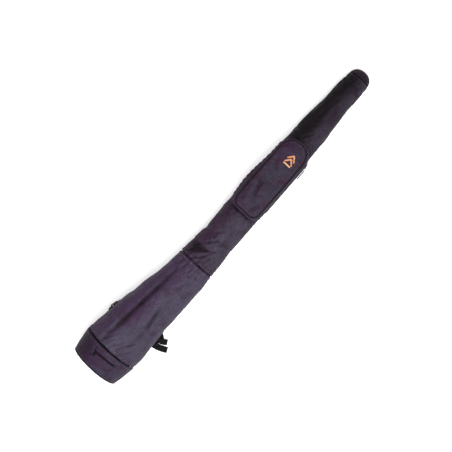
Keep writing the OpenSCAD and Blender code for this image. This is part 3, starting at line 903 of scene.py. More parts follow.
def close_skin(obj, depth=7.0, rows=26):
    """Adds the inner face of the skin, so that it is one closed shell."""
    bm = bmesh.new()
    bm.from_mesh(obj.data)
    rim = {v for e in bm.edges if e.is_boundary for v in e.verts}
    middle = (min(v.co.x for v in rim) + max(v.co.x for v in rim)) / 2

    def angle_of(v):
        return float(case_angle(*(c / MM for c in v.co)))

    low = sorted([v for v in rim if v.co.x < middle], key=angle_of)
    high = sorted([v for v in rim if v.co.x >= middle], key=angle_of)
    angles = np.array([angle_of(v) for v in low])
    x_low = sum(v.co.x for v in low) / len(low) / MM
    x_high = sum(v.co.x for v in high) / len(high) / MM

    def bridge(first, second):
        for j in range(len(first)):
            j2 = (j + 1) % len(first)
            bm.faces.new((first[j], first[j2], second[j2], second[j]))

    previous = low
    for k in range(1, rows + 1):
        x = x_low + (x_high - x_low) * k / (rows + 1)
        points = case_surface(np.array([x]), depth, angles)[0] * MM
        row = [bm.verts.new(p) for p in points.tolist()]
        bridge(previous, row)
        previous = row
    bridge(previous, high)
    bmesh.ops.recalc_face_normals(bm, faces=bm.faces)
    bm.to_mesh(obj.data)
    bm.free()
    obj.data.shade_smooth()


def build_flare():
    flare = skin("flare_skin", np.linspace(101.2, 534.4, 110), 144)
    pins = skin_pins(flare, (MOUTH_X, SEAM_X), reach=34)
    cloth(flare, pins, pressure=2.5, shrink=-0.014, limit=3.0, bend=1.0)
    subdivide(flare)
    fold_skin(flare, hem=101.2)
    close_skin(flare)
    piece(flare, "flare", "case", "flare_nylon", "flare_shell")
    return tree_of(flare)


def build_tube():
    tube = skin("tube_skin", np.linspace(535.6, 1462.5, 210), 104)
    pins = skin_pins(tube, (SEAM_X, 1463, 800, 1130), reach=30)
    cloth(tube, pins, pressure=3.0, shrink=-0.02, limit=3.6, bend=0.6)
    subdivide(tube)
    fold_skin(tube)
    close_skin(tube)
    piece(tube, "tube", "case", "tube_nylon", "tube_shell")
    return tree_of(tube)


FLARE_TREE = build_flare()
TUBE_TREE = build_tube()


def on_skin(x, angle, lift=0.0):
    """Point and normal on the finished skin."""
    tree = FLARE_TREE if x < SEAM_X else TUBE_TREE
    center = Vector((x, center_y(x), center_z(x))) * MM
    reach = Vector((0, math.cos(angle) * radius_y(x), math.sin(angle) * radius_z(x)))
    out = reach.normalized()
    hit, normal = tree.ray_cast(center + out * 0.2, -out)[:2]
    # a ray that slips past the mesh falls back on the plain case surface
    if hit is None:
        return np.array(center) / MM + np.array(reach), np.array(out)
    if normal.dot(out) <= 0:
        normal = -normal
    return np.array(hit + normal * lift * MM) / MM, np.array(normal)


def stitches(name, path, normals, pitch=4.4, length=3.0, radius=0.42, body="case"):
    """A row of small raised stitches along a path with normals."""
    path, normals = np.asarray(path, float), np.asarray(normals, float)
    # rings along one stitch: (place along it, relative radius, relative height)
    profile = ((-0.5, 0.25, -0.5), (-0.32, 0.9, 0.35), (0, 1.0, 0.55), (0.32, 0.9, 0.35),
               (0.5, 0.25, -0.5))
    sink = 0.1
    sides = 6
    lengths = arc_length(path)

    def sample(values, at):
        return np.array([np.interp(at, lengths, values[:, k]) for k in range(3)])

    verts, faces = [], []
    for i in range(int(lengths[-1] / pitch)):
        middle = (i + 0.5) * pitch
        centers = [sample(path, middle + row[0] * length) for row in profile]
        normal = unit(sample(normals, middle))
        side = np.cross(normal, unit(centers[-1] - centers[0]))
        faces += thread_faces(len(verts), len(profile), sides)
        for center, (_, thickness, height) in zip(centers, profile):
            verts += ring(center + normal * (radius * height - sink), radius * thickness,
                          side, normal, sides)
    piece(new_object(name, verts, faces), "stitch", body, "piping")


for name, x in (("seam_stitches_lower", 525.5), ("seam_stitches_upper", 544.5),
                ("tip_stitches", 1457.0), ("mouth_stitches", 106.5)):
    stitches(name, *zip(*[on_skin(x, 2 * math.pi * i / 260) for i in range(261)]))


# ---------------------------------------------------------------- pocket shape
POCKET_LOW_X, POCKET_HIGH_X = 794.0, 1128.0
POCKET_MID_X = (POCKET_LOW_X + POCKET_HIGH_X) / 2
POCKET_HALF_X = (POCKET_HIGH_X - POCKET_LOW_X) / 2
HIGH_CORNER, LOW_CORNER = 56.0, 30.0    # corner radii at the high-X and low-X ends
CORNER_HALF_Y = 62                      # half width that the corner radii refer to
POCKET_SLOPE = 0.0295                   # sideways drift of the pocket's axis along X
POCKET_ZIP_X = 1085.0                   # high-X end of the pocket zip
ZIP_Z = 4.0
PANEL_HALF_Y = 52.5


def pocket_y(x):
    """Centre line of the pocket."""
    return -8.5 - (POCKET_ZIP_X - x) * POCKET_SLOPE


def pocket_z(x):
    """Height of the pocket's front panel."""
    return 37 + (POCKET_HIGH_X - x) * 0.045


def pocket_outline(count=300):
    """Evenly spaced points round the pocket: x, across (-1 to 1), and the full length."""
    def arc(x, across, radius, start):
        angles = [math.radians(start + 90 * k / 24) for k in range(24)]
        return [(x + radius * math.cos(t), across + (radius / CORNER_HALF_Y) * math.sin(t))
                for t in angles]

    def line(p, q, steps):
        return [(p[0] + (q[0] - p[0]) * k / steps, p[1] + (q[1] - p[1]) * k / steps)
                for k in range(steps)]

    high_x, high = POCKET_HIGH_X - HIGH_CORNER, 1 - HIGH_CORNER / CORNER_HALF_Y
    low_x, low = POCKET_LOW_X + LOW_CORNER, 1 - LOW_CORNER / CORNER_HALF_Y
    points = np.array([
        *arc(high_x, high, HIGH_CORNER, 0),
        *line((high_x, 1), (low_x, 1), 60),
        *arc(low_x, low, LOW_CORNER, 90),
        *line((POCKET_LOW_X, low), (POCKET_LOW_X, -low), 20),
        *arc(low_x, -low, LOW_CORNER, 180),
        *line((low_x, -1), (high_x, -1), 60),
        *arc(high_x, -high, HIGH_CORNER, 270),
        *line((POCKET_HIGH_X, -high), (POCKET_HIGH_X, high), 6)])
    closed = np.vstack([points, points[:1]])
    lengths = arc_length(closed * np.array([1, 60]))
    at = np.linspace(0, lengths[-1], count, endpoint=False)
    return np.interp(at, lengths, closed[:, 0]), np.interp(at, lengths, closed[:, 1]), lengths[-1]


OUT_X, OUT_ACROSS, OUT_LENGTH = pocket_outline()
OUT_INDEX = np.arange(len(OUT_X))
AROUND = np.append(OUT_INDEX, 0)   # indices that return to the start
OUT_ALONG = OUT_INDEX * OUT_LENGTH / len(OUT_X)


def stretch(x, amount):
    """Moves the ends of the pocket outwards by amount."""
    return POCKET_MID_X + (x - POCKET_MID_X) * (POCKET_HALF_X + amount) / POCKET_HALF_X


def case_top(x, y):
    inside = np.maximum(0.02, 1 - ((y - center_y(x)) / radius_y(x)) ** 2)
    return center_z(x) + radius_z(x) * np.sqrt(inside)


def base_ring(inset, lift):
    """Ring where the gusset meets the case."""
    x = stretch(OUT_X, -inset)
    y = pocket_y(x) + OUT_ACROSS * (0.9 * radius_y(x) - inset)
    return np.stack([x, y, case_top(x, y) + lift], 1)


def middle_ring(sign):
    """Ring on the +Z (sign 1) or -Z (sign -1) side of the zip level."""
    x = stretch(OUT_X, 1)
    half = np.where(OUT_ACROSS > 0, 64 + 13 * bell(x - 900, 95), 67.0)
    bottom = case_top(x, pocket_y(x) + OUT_ACROSS * 0.9 * radius_y(x)) + 1.3
    side = np.abs(OUT_ACROSS) ** 4
    middle = (bottom + pocket_z(x)) / 2
    height = np.minimum(9, 0.24 * (pocket_z(x) - bottom))
    z = side * (ZIP_Z + sign * 8.5) + (1 - side) * (middle + sign * height)
    return np.stack([x, pocket_y(x) + OUT_ACROSS * half, z], 1)


def edge_ring(inset, drop):
    """Ring at the piped edge, drop under the panel."""
    x = stretch(OUT_X, -5 - inset)
    return np.stack([x, pocket_y(x) + OUT_ACROSS * (54 - inset), pocket_z(x) - drop], 1)


def gusset_knots():
    """Rings the gusset runs through, from the flange on the case to under the panel."""
    base = base_ring(0.0, 1.3)
    flange = base_ring(-4.0, 0.9)
    flange[:, 2] = np.minimum(flange[:, 2], base[:, 2])
    low, high = middle_ring(-1), middle_ring(1)
    return np.stack([flange, base, low, (low + high) / 2, high, edge_ring(0.0, 7.0),
                     edge_ring(4.0, 7.4)])


GUSSET_KNOTS = gusset_knots()
KNOT_AT = np.array([0, 0.12, 0.36, 0.48, 0.60, 0.93, 1.0])


def gusset_rows(at):
    knots, stations = GUSSET_KNOTS, KNOT_AT
    slopes = np.zeros_like(knots)
    slopes[1:-1] = (knots[2:] - knots[:-2]) / (stations[2:] - stations[:-2])[:, None, None]
    slopes[0] = (knots[1] - knots[0]) / (stations[1] - stations[0])
    slopes[-1] = (knots[-1] - knots[-2]) / (stations[-1] - stations[-2])
    return piecewise_cubic(stations, knots, slopes * 0.55, at)


def panel_ring(scale):
    """x and y of the panel outline shrunk to a scale."""
    x = POCKET_MID_X + (stretch(OUT_X, -6.5) - POCKET_MID_X) * scale
    return x, pocket_y(x) + OUT_ACROSS * PANEL_HALF_Y * scale


# ---------------------------------------------------------------- pocket pieces
def build_gusset():
    rows_at = np.linspace(0, 1, 24)
    gusset = grid_object("pocket_gusset_skin", gusset_rows(rows_at),
                         st=grid_st(OUT_ALONG, (rows_at * 60)[:, None]))
    fix_normals(gusset)
    subdivide(gusset)
    co = points_of(gusset)
    x, y, z = co.T
    middle = pocket_y(x)
    normals = read_vectors(gusset.data.vertices, "normal")
    # the open shell may come out facing either way
    if (normals[:, 1] * (y - middle)).mean() < 0:
        normals = -normals
    zip_side = (y < middle - 45) & (x > 838) & (x < 1096)
    v = 1.5 * vnoise(co, 48, 3, 2.3) + 0.8 * vnoise(co, 17, 3, 7.7)
    along = x * 0.9 + y * 0.7
    v += 0.9 * np.sin(2 * np.pi * along / 19 + 3 * vnoise(co, 50, 2, 9.1)) * (~zip_side)
    # flat beside the zip and where it meets the case
    v = np.where(zip_side, v * clip01((np.abs(z - ZIP_Z) - 8) / 7), v)
    v *= clip01((z - case_top(x, y)) / 6)
    # fold depth, which the cloth material paints as shade in the folds
    set_fold_shade(gusset, v, start=1.0, full=4.0)
    set_points(gusset, co + normals * v[:, None])

    def in_zip_slot(face):
        x, y, z = (c / MM for c in face.calc_center_median())
        return y < pocket_y(x) - 50 and 846 < x < 1088 and abs(z - ZIP_Z) < 5.6

    bm = bmesh.new()
    bm.from_mesh(gusset.data)
    slot = [face for face in bm.faces if in_zip_slot(face)]
    bmesh.ops.delete(bm, geom=slot, context="FACES")
    bm.to_mesh(gusset.data)
    bm.free()
    thicken(gusset, 0.9, offset=-1.0)
    gusset.data.shade_smooth()
    piece(gusset, "pocket", "case", "pocket_nylon", "pocket_gusset")


# Creases of the panel: (x0, y0, x1, y1, width, depth, ridge)
PANEL_CREASES = [
    (948, 16, 856, -8, 11, 4.2, 1.2), (968, 30, 950, 38, 6, 2.4, 1.0),
    (813, -26, 852, -52, 7, 2.6, 1.2), (1098, -34, 1060, -46, 7, 2.2, 1.0),
    (1010, -40, 905, -44, 8, 1.7, 0.9), (1030, 26, 985, -6, 10, 1.9, 0.8),
    (830, 22, 880, 34, 8, 1.8, 0.9)]
EMBLEM_X, EMBLEM_Y = 1057.0, -19.0


def build_panel():
    """Padded front panel: rings from the piped edge inwards, inflated and then dented."""
    inner_scales = np.linspace(1.0, 0.04, 34)
    scales = np.concatenate([[1.02, 1.012], inner_scales])
    heights = np.concatenate([[-8.4, -7.4], -6.0 * clip01((inner_scales - 0.80) / 0.20) ** 2.2])
    rings = []
    for scale, height in zip(scales, heights):
        x, y = panel_ring(scale)
        rings.append(np.stack([x, y, pocket_z(x) + height], 1))
    points = np.stack(rings)[:, ::2]
    m, n = points.shape[:2]
    verts = points.reshape(-1, 3)
    faces = [(i * n + j, i * n + (j + 1) % n, (i + 1) * n + (j + 1) % n, (i + 1) * n + j)
             for i in range(m - 1) for j in range(n)]
    faces.append(tuple((m - 1) * n + j for j in range(n)))
    panel = new_object("pocket_panel_skin", verts, faces)
    set_st(panel, verts)
    fix_normals(panel)
    pins = np.zeros(len(verts))
    pins[:n * 4] = 1.0
    pins[n * 4:n * 6] = 0.6
    cloth(panel, pins, pressure=4.5, shrink=-0.016, limit=4.2, bend=1.2)
    subdivide(panel)

    co = points_of(panel)
    x, y = co[:, 0], co[:, 1]
    outward = np.maximum(np.abs(x - POCKET_MID_X) / (POCKET_HALF_X + 1),
                         np.abs(y - pocket_y(x)) / 53)
    v = 0.9 * vnoise(co, 60, 3, 3.9) + 0.55 * vnoise(co, 22, 3, 8.8)
    lines = vnoise(co * np.array([0.8, 1, 1]), 40, 2, 15.1)
    v += 1.1 * clip01(vnoise(co, 70, 2, 2.9) * 2.2 + 0.5) * crinkle(lines, 0.5)
    v += creases(x, y, PANEL_CREASES)
    wave = np.sin(2 * np.pi * (x * 0.8 + y * 0.7) / 15 + 2.2 * vnoise(co, 40, 2, 4.4))
    v += bell(outward - 0.93, 0.05) * 0.7 * wave
    v *= clip01((1 - outward) / 0.12)
    # fold depth, which the cloth material paints as shade in the folds
    set_fold_shade(panel, v, start=1.2, full=4.5)
    # nearly flat under the embroidery
    flat = clip01(np.hypot((x - EMBLEM_X) / 34, (y - EMBLEM_Y) / 24) - 0.8)
    co[:, 2] += v * (0.25 + 0.75 * flat)
    set_points(panel, co)
    thicken(panel, 0.9, offset=-1.0)
    panel.data.shade_smooth()
    piece(panel, "pocket", "case", "pocket_nylon", "pocket_panel")
    return tree_of(panel)


build_gusset()
PANEL_TREE = build_panel()


def on_panel(x, y):
    """Point and normal on the finished panel."""
    hit, normal = PANEL_TREE.ray_cast(Vector((x * MM, y * MM, 0.3)), Vector((0, 0, -1)))[:2]
    # beside the panel there is nothing to hit
    if hit is None:
        return np.array([x, y, pocket_z(x)]), np.array([0, 0, 1.0])
    return np.array(hit) / MM, np.array(normal if normal.z > 0 else -normal)


def build_pocket_edge():
    """Piping with a wrinkled cover, the ribbed binding under it, and the stitch rows."""
    path = edge_ring(0.0, 5.6)
    path[:, 2] += 0.35 * np.sin(OUT_INDEX * 0.9)
    radius = 1.75 + 0.14 * np.sin(OUT_INDEX * 2.1) + 0.1 * np.sin(OUT_INDEX * 0.37)
    piping = tube_along("pocket_piping_cord", path, radius, 10, closed=True)
    subdivide(piping)
    piece(piping, "edging", "case", "piping", "pocket_piping")

    rows = gusset_rows([0.905, 0.87, 0.82, 0.775])
    inner = np.stack([POCKET_MID_X + (OUT_X - POCKET_MID_X) * 0.6, pocket_y(OUT_X),
                      rows[1][:, 2]], 1)
    outward = unit(rows[1] - inner)
    offsets = np.array([0.2, 1.25, 1.35, 0.2])
    binding = grid_object("pocket_edge_binding", rows + outward * offsets[:, None, None],
                          st=grid_st(OUT_ALONG, np.array([0, 3, 7, 10.0])[:, None]))
    add_modifier(binding, "SOLIDIFY", thickness=0.7 * MM, offset=1.0)
    subdivide(binding)
    fix_normals(binding)
    piece(binding, "grosgrain", "case", "piping")

    x = panel_ring(0.965)[0][AROUND]
    y = (pocket_y(OUT_X) + OUT_ACROSS * PANEL_HALF_Y * 0.93)[AROUND]
    stitches("pocket_panel_stitches", *zip(*[on_panel(*p) for p in zip(x, y)]),
             pitch=4.0, length=2.7)
    stitches("pocket_binding_stitches", (rows[2] + outward * 1.9)[AROUND], outward[AROUND],
             pitch=3.6, length=2.3, radius=0.36)
    stitches("pocket_base_stitches", base_ring(-1.5, 1.5)[AROUND], [(0, 0, 1.0)] * len(AROUND),
             radius=0.4)


def build_pocket_padding():
    """Foam under the panel, following its dents."""
    rings = 24
    flat = np.stack([np.stack(panel_ring(scale), 1)[::3]
                     for scale in np.linspace(0.97, 0.06, rings)])
    top = np.array([[on_panel(x, y)[0][2] - 1.9 for x, y in row] for row in flat])
    inward = clip01(np.arange(rings) / 3.0)[:, None]
    bottom = np.minimum(top - 1.2 - 3.0 * inward, pocket_z(flat[..., 0]) - 3.0)
    points = np.concatenate([np.concatenate([flat, top[..., None]], -1),
                             np.concatenate([flat, bottom[..., None]], -1)[::-1]], 0)
    foam = grid_object("padding_foam", points, rows_wrap=True)
    fix_normals(foam)
    piece(foam, "foam", "case", "foam", "pocket_padding")


build_pocket_edge()
build_pocket_padding()


# ---------------------------------------------------------------- round pieces of the mouth
def turned(name, profile, columns, start=0.0, stop=360.0):
    """Revolves a profile of (x, radius) about the X axis; angle 0 is +Y, in degrees."""
    full = stop - start == 360.0
    angles = np.radians(np.linspace(start, stop, columns, endpoint=not full))[:, None]
    profile = np.asarray(profile, float)
    x, radius = profile.T
    points = np.stack([np.broadcast_to(x, (columns, len(x))), radius * np.cos(angles),
                       radius * np.sin(angles)], -1)
    obj = grid_object(name, points, st=grid_st(angles * 110, arc_length(profile)),
                      caps=not full, rows_wrap=full)
    fix_normals(obj)
    return obj


# Outside of the cap wall: (x, radius)
CAP_WALL = [
    (4.4, 97.0), (4.7, 98.6), (6.0, 99.4), (10, 100.6), (14, 101.7), (26, 104.4), (40, 106.7),
    (56, 109.0), (70, 111.0), (80, 112.3), (86, 112.8), (88.6, 112.5), (89.2, 111.6),
    (88.4, 110.9)]

# Short creases on the +Z side of the cap: (x0, y0, x1, y1, width, depth, ridge)
CAP_CREASES = [
    (44, 28, 74, 41, 3.4, 5.0, 1.2), (30, 52, 62, 22, 5, 2.2, 1.0),
    (74, -30, 84, -52, 3, 1.8, 0.9), (24, -20, 40, -60, 6, 1.8, 1.0),
    (18, 20, 34, -8, 6, 1.4, 0.8)]


def cap_profile():
    """Closed wall section: the outside in steps of about 1.7, then the inside."""
    outside = []
    for (x0, r0), (x1, r1) in zip(CAP_WALL, CAP_WALL[1:]):
        steps = max(1, int(math.hypot(x1 - x0, r1 - r0) / 1.7))
        outside += [(x0 + (x1 - x0) * k / steps, r0 + (r1 - r0) * k / steps)
                    for k in range(steps)]
    inside = [(x, r - 1.4) for x, r in outside if 8 < x < 82 and r > 99.9][::-1]
    return outside + [CAP_WALL[-1]] + inside + [(5.2, 97.2)]


def build_cap():
    cap = turned("cap_skin", cap_profile(), 240)
    co = points_of(cap)
    x, y, z = co.T
    angle = np.arctan2(z, y)
    v = 0.9 * vnoise(co, 70, 3, 4.4) + 0.5 * vnoise(co, 22, 3, 6.1)
    lines = vnoise(co, 40, 2, 19.3)
    v += 1.2 * clip01(vnoise(co, 75, 2, 7.2) * 2.2 + 0.4) * crinkle(lines, 0.5)
    # puckers: (edge x, reach, pitch, height, noise scale, seed)
    for edge, reach, pitch, height, scale, seed in ((88, 9, 17, 0.7, 60, 1.9),
                                                    (6, 8, 13, 0.6, 50, 8.9)):
        wave = np.sin(2 * np.pi * angle * 110 / pitch + 3 * vnoise(co, scale, 2, seed))
        v += height * np.exp(-np.abs(x - edge) / reach) * wave
    # crease parallel to the opening on the pocket side, with a short one across its end
    reach = (z > 0) * clip01((y + 64) / 12) * clip01((44 - y) / 8)
    past = x - (62.5 - 0.045 * y)
    v += reach * (-6.0 * bell(past, 3.4) + 1.7 * bell(past - 8, 4.2))
    v += (z > 0) * creases(x, y, CAP_CREASES)
    v = np.maximum(v, -4.6) * clip01((x - 5) / 8) * clip01((88 - x) / 5)
    # fold depth, which the cloth material paints as shade in the folds
    set_fold_shade(cap, v, start=0.6, full=2.4)
    co[:, 1] += v * np.cos(angle)
    co[:, 2] += v * np.sin(angle)
    set_points(cap, co)
    subdivide(cap)
    piece(cap, "cap", "end_cap", "flare_nylon", "cap_wall")
    return tree_of(cap)


def cap_ring(tree, x):
    """Points and outward directions round the finished cap."""
    points, outward = [], []
    for angle in np.linspace(0, 2 * math.pi, 260):
        out = Vector((0, math.cos(angle), math.sin(angle)))
        hit = tree.ray_cast(Vector((x * MM, 0, 0)) + out * 0.2, -out)[0]
        # a ray that slips past the mesh falls back on a plain circle
        miss = np.array([x, 112 * out[1], 112 * out[2]])
        points.append(miss if hit is None else np.array(hit) / MM)
        outward.append(np.array(out))
    return points, outward


cap_tree = build_cap()
for name, x in (("cap_hem_stitches", 83.5), ("cap_base_stitches", 9.5)):
    stitches(name, *cap_ring(cap_tree, x), body="end_cap")


def round_piping(name, path, radius, body, replaced):
    """Closed piping whose cover ripples slightly."""
    radius = radius + 0.1 * np.sin(np.arange(len(path)) * 2.1)
    cord = tube_along(name, path, radius, 10, closed=True)
    subdivide(cord)
    piece(cord, "piping", body, "piping", replaced)


def build_end_piping():
    a = turn(300)
    path = np.stack([np.full(300, 2.7), 97.8 * np.cos(a), 97.8 * np.sin(a)], 1)
    round_piping("cap_piping_cord", path, 1.95, "end_cap", "cap_piping")
    # the tip piping follows the tip seam
    center = np.array([TIP_X, center_y(TIP_X), center_z(TIP_X)])
    out = np.array([on_skin(1462.3, 2 * math.pi * i / 220)[0] for i in range(220)]) - center
    out[:, 0] = 0
    out = unit(out)
    reach = np.hypot((radius_y(TIP_X) - 1.0) * out[:, 1], (radius_z(TIP_X) - 1.0) * out[:, 2])
    round_piping("tip_piping_cord", center + out * reach[:, None], 1.6, "case", "tip_piping")


def coil_ring(name, x_in, x_out, body, replaced):
    """Half of the mouth zip: one wire looping from the tape edge to the closing line."""
    teeth = int(2 * ZIP_HALF_ANGLE / 360 * 2 * math.pi * 111 / 2.2)
    count = teeth * 8
    k = np.arange(count)
    phase = 2 * np.pi * k / 8
    angle = np.radians(-ZIP_HALF_ANGLE + 2 * ZIP_HALF_ANGLE * (k + 0.5) / count)
    radius = 110.55 + 1.0 * np.sin(phase)
    x = (x_in + x_out) / 2 + (x_out - x_in) / 2 * np.cos(phase)
    path = np.stack([x, radius * np.cos(angle), radius * np.sin(angle)], 1)
    piece(tube_along(name, path, 0.42, 6), "coil", body, "zip_coil", replaced)


def tape_ring(name, x0, x1, body, replaced):
    xs = np.linspace(x0, x1, 6)
    profile = [(x, ZIP_TAPE_RADIUS + 0.9 + 0.15 * math.sin(i * 2.1)) for i, x in enumerate(xs)]
    profile += [(x, ZIP_TAPE_RADIUS) for x in xs[::-1]]
    tape = turned(name, profile, int(2 * ZIP_HALF_ANGLE * 0.9), -ZIP_HALF_ANGLE, ZIP_HALF_ANGLE)
    piece(tape, "tape", body, "zip_tape", replaced)


def welt(name, x0, x1, edge, slack, material, body):
    """Narrow welt over the zip teeth; its free edge wanders by slack."""
    xs = np.linspace(x0, x1, 7)
    profile = [(x, 112.86 - (0.35 if i in (0, 6) else 0)) for i, x in enumerate(xs)]
    profile += [(x, 112.2) for x in xs[::-1]]
    obj = turned(name, profile, 340, -ZIP_HALF_ANGLE + 2, ZIP_HALF_ANGLE - 2)
    co = points_of(obj)
    t = np.arctan2(co[:, 2], co[:, 1])
    wander = 0.9 * np.sin(t * 3.1 + 0.6) + 0.6 * np.sin(t * 11 + 1.7) + 0.4 * np.sin(t * 27)
    co[:, 0] += slack * clip01(1 - np.abs(co[:, 0] - edge) / 5) * wander
    set_points(obj, co)
    piece(obj, material, body, "flare_nylon")


def build_hinge():
    """Cloth hinge: one strip from the cap to the case."""
    xs = np.linspace(80, 108, 30)
    gap = ZIP_HALF_ANGLE + 1.5
    angles = np.radians(np.linspace(gap, 360 - gap, 60))

    def row(x, middle_radius, end_radius):
        radius = middle_radius if 88 < x < 101.5 else end_radius
        radius = radius + 0.35 * np.sin(angles * 60) * bell(x - 94.5, 6)
        return np.stack([np.full(60, x), radius * np.cos(angles), radius * np.sin(angles)], 1)

    points = np.stack([row(x, 110.4, 109.6) for x in xs]
                      + [row(x, 109.4, 108.7) for x in xs[::-1]])
    hinge = grid_object("hinge_cloth", points, columns_wrap=False, st=points, rows_wrap=True)
    bm = bmesh.new()
    bm.from_mesh(hinge.data)
    bmesh.ops.holes_fill(bm, edges=[e for e in bm.edges if e.is_boundary], sides=0)
    bm.to_mesh(hinge.data)
    bm.free()
    fix_normals(hinge)
    paint(hinge, "cap")
    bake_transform(hinge)
    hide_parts("hinge_strip_case", "hinge_strip_cap")


build_end_piping()
coil_ring("mouth_zip_teeth", 95.7, 97.2, "case", "mouth_zip_coil")
coil_ring("cap_zip_teeth", 91.8, 93.3, "end_cap", "cap_zip_coil")
tape_ring("mouth_zip_cloth", 95.3, 104.2, "case", "mouth_zip_tape")
tape_ring("cap_zip_cloth", 81.2, 93.6, "end_cap", "cap_zip_tape")
welt("mouth_welt", 98.6, 102.6, edge=98.6, slack=-0.8, material="flare", body="case")
welt("cap_welt", 87.6, 91.8, edge=91.8, slack=0.8, material="cap", body="end_cap")
build_hinge()

# ---------------------------------------------------------------- tip
TIP_END_X = 1470.0   # last case station, which sets the tip's size
# Dome of the tip: (distance past TIP_X, scale)
TIP_PROFILE = [(2, 1.0), (6, 0.985), (12, 0.945), (21, 0.82), (28.5, 0.62), (33.4, 0.34), (35, 0.06)]
TIP_HEM = [(3.5, 0.93), (2.4, 0.95), (2.2, 0.985)]


def build_tip():
    scale_at = smooth_table(TIP_PROFILE)
    columns = 120
    angles = turn(columns)
    stations = [*np.linspace(2.4, 28, 26), 29.5, 31, 32.2, 33.2, 34, 34.6, 34.9]
    y0, z0 = center_y(TIP_END_X), center_z(TIP_END_X)
    rows = []
    for distance, scale in TIP_HEM + [(q, scale_at(q)) for q in stations]:
        rows.append(np.stack([np.full(columns, TIP_X + distance + 1.0),
                              y0 + radius_y(TIP_END_X) * scale * np.cos(angles),
                              z0 + radius_z(TIP_END_X) * scale * np.sin(angles)], 1))
    points = np.stack(rows)
    tip = grid_object("tip_skin", points, st=points, caps=True)
    fix_normals(tip)
    co = points_of(tip)
    normals = read_vectors(tip.data.vertices, "normal")
    angle = np.arctan2(co[:, 2] - z0, co[:, 1] - y0)
    distance = co[:, 0] - TIP_X
    pucker = np.sin(angle * 17 + 2.5 * vnoise(co, 30, 2, 2.2))
    v = 0.9 * np.exp(-np.abs(distance - 3) / 9) * pucker + 0.7 * vnoise(co, 26, 3, 5.5)
    set_points(tip, co + normals * (v * clip01((distance - 2.4) / 5))[:, None])
    subdivide(tip)
    piece(tip, "tip", "case", "tip_nylon", "tip_panel")


build_tip()


# ---------------------------------------------------------------- foam and lining
def layer(name, x0, x1, outer, inner, material, slot, replaced, rows=40, columns=96, wave=0.0):
    """Layer behind the skin between two insets, closed at its ends."""
    xs = np.linspace(x0, x1, rows)
    angles = turn(columns)

    def shell(inset):
        points = case_surface(xs, inset, angles)
        v = wave * vnoise(points.reshape(-1, 3), 60, 2, 1.0).reshape(rows, columns)
        points[..., 1] += v * np.cos(angles)
        points[..., 2] += v * np.sin(angles)
        return points

    obj = grid_object(name, np.concatenate([shell(outer), shell(inner)[::-1]], 0), rows_wrap=True)
    fix_normals(obj)
    piece(obj, material, "case", slot, replaced)


# Section of the cap's foam: (x, radius)
CAP_FOAM = [
    (4.6, 0.5), (4.6, 93), (14, 96), (26, 98), (56, 102), (76, 103.4),
    (76, 101.4), (56, 99.6), (26, 95), (12, 92.4), (12, 0.5)]

layer("tube_foam_layer", 537, 1460, 7.6, 8.9, "foam", "foam", "tube_foam")
layer("flare_foam_layer", 112, 533, 7.6, 8.9, "foam", "foam", "flare_foam")
piece(turned("cap_foam_pad", CAP_FOAM, 120), "foam", "end_cap", "foam", "cap_foam")
layer("tube_lining_cloth", 536, 1461, 9.2, 9.9, "lining", "lining", "tube_lining",
      rows=80, wave=0.5)
layer("flare_lining_cloth", 111, 534, 9.2, 9.9, "lining", "lining", "flare_lining",
      rows=60, columns=120, wave=0.6)
layer("join_tape_inside", 526, 544, 10.6, 11.2, "tape", "lining", "join_seam_tape",
      rows=8, columns=110, wave=0.1)

# ---------------------------------------------------------------- straps
SIDES = ((1, "left"), (-1, "right"))   # sign of Y and name
ACROSS = np.array([0, 1.0, 0])
# Each ladder lock's own frame: origin, and rotation about Z
LOCKS = {1: (np.array([190.0, 97.0, -100.5]), rotation_z(math.radians(-12))),
         -1: (np.array([192.0, -96.0, -100.5]), rotation_z(math.radians(-35)))}


def in_lock(side, points):
    origin, rotation = LOCKS[side]
    return np.asarray(points, float) @ rotation.T + origin


def lock_across(side):
    return LOCKS[side][1] @ ACROSS


def strap_y(side, x):
    """Centre line of a strap, bowed inwards, with a flick outwards at the left lower end."""
    along = (1000 - x) / 760
    line = 30 + along * 36 if side > 0 else -50 - along * 56
    bowed = line - side * (13.0 + 13.2 * np.sin(np.pi * (x - 240) / 760))
    return bowed + (21 * smoothstep((335 - x) / 95) if side > 0 else 0)


def ribbon(name, centers, widths, normals, thickness, body, replaced=(), seed=1.0):
    """Flat webbing; widths are half width vectors."""
    count = len(centers)
    lengths = arc_length(centers)
    across = np.linspace(-1, 1, 9)
    columns, st = [], []
    for face, places in ((1, across), (-1, across[::-1])):
        for u in places:
            edge = 1 - 0.55 * abs(u) ** 8
            columns.append(centers + widths * u + normals * (face * thickness / 2 * edge))
            st.append(np.stack([lengths, np.full(count, u * 12.5), np.zeros(count)], 1))
    points = np.stack(columns, 1)
    wave = 0.12 * vnoise(points.reshape(-1, 3), 24, 2, seed).reshape(points.shape[:2])
    points = points + normals[:, None] * wave[..., None]
    obj = grid_object(name, points, st=np.stack(st, 1), caps=True)
    fix_normals(obj)
    piece(obj, "web", body, "webbing", *replaced)


def square_to(vectors, tangents):
    """Unit vectors nearest to vectors and square to the tangents."""
    return unit(vectors - tangents * np.sum(vectors * tangents, 1)[:, None])


def path_ribbon(name, controls, across, half_width, thickness, body, replaced=(), count=60,
                seed=1.0):
    """Webbing through control points, keeping its width along across."""
    path = curve_through(controls, count)
    tangents = unit(np.gradient(path, axis=0))
    widths = square_to(np.tile(across, (count, 1)), tangents)
    ribbon(name, path, widths * half_width, np.cross(tangents, widths), thickness, body,
           replaced, seed)


# Lower end of each strap webbing, in the lock's frame
LEAD_START = {1: [[31.0, 0, 2.3], [36.0, 0, 1.2]], -1: [[31.0, 0, -2.9], [36.0, 0, -2.2]]}


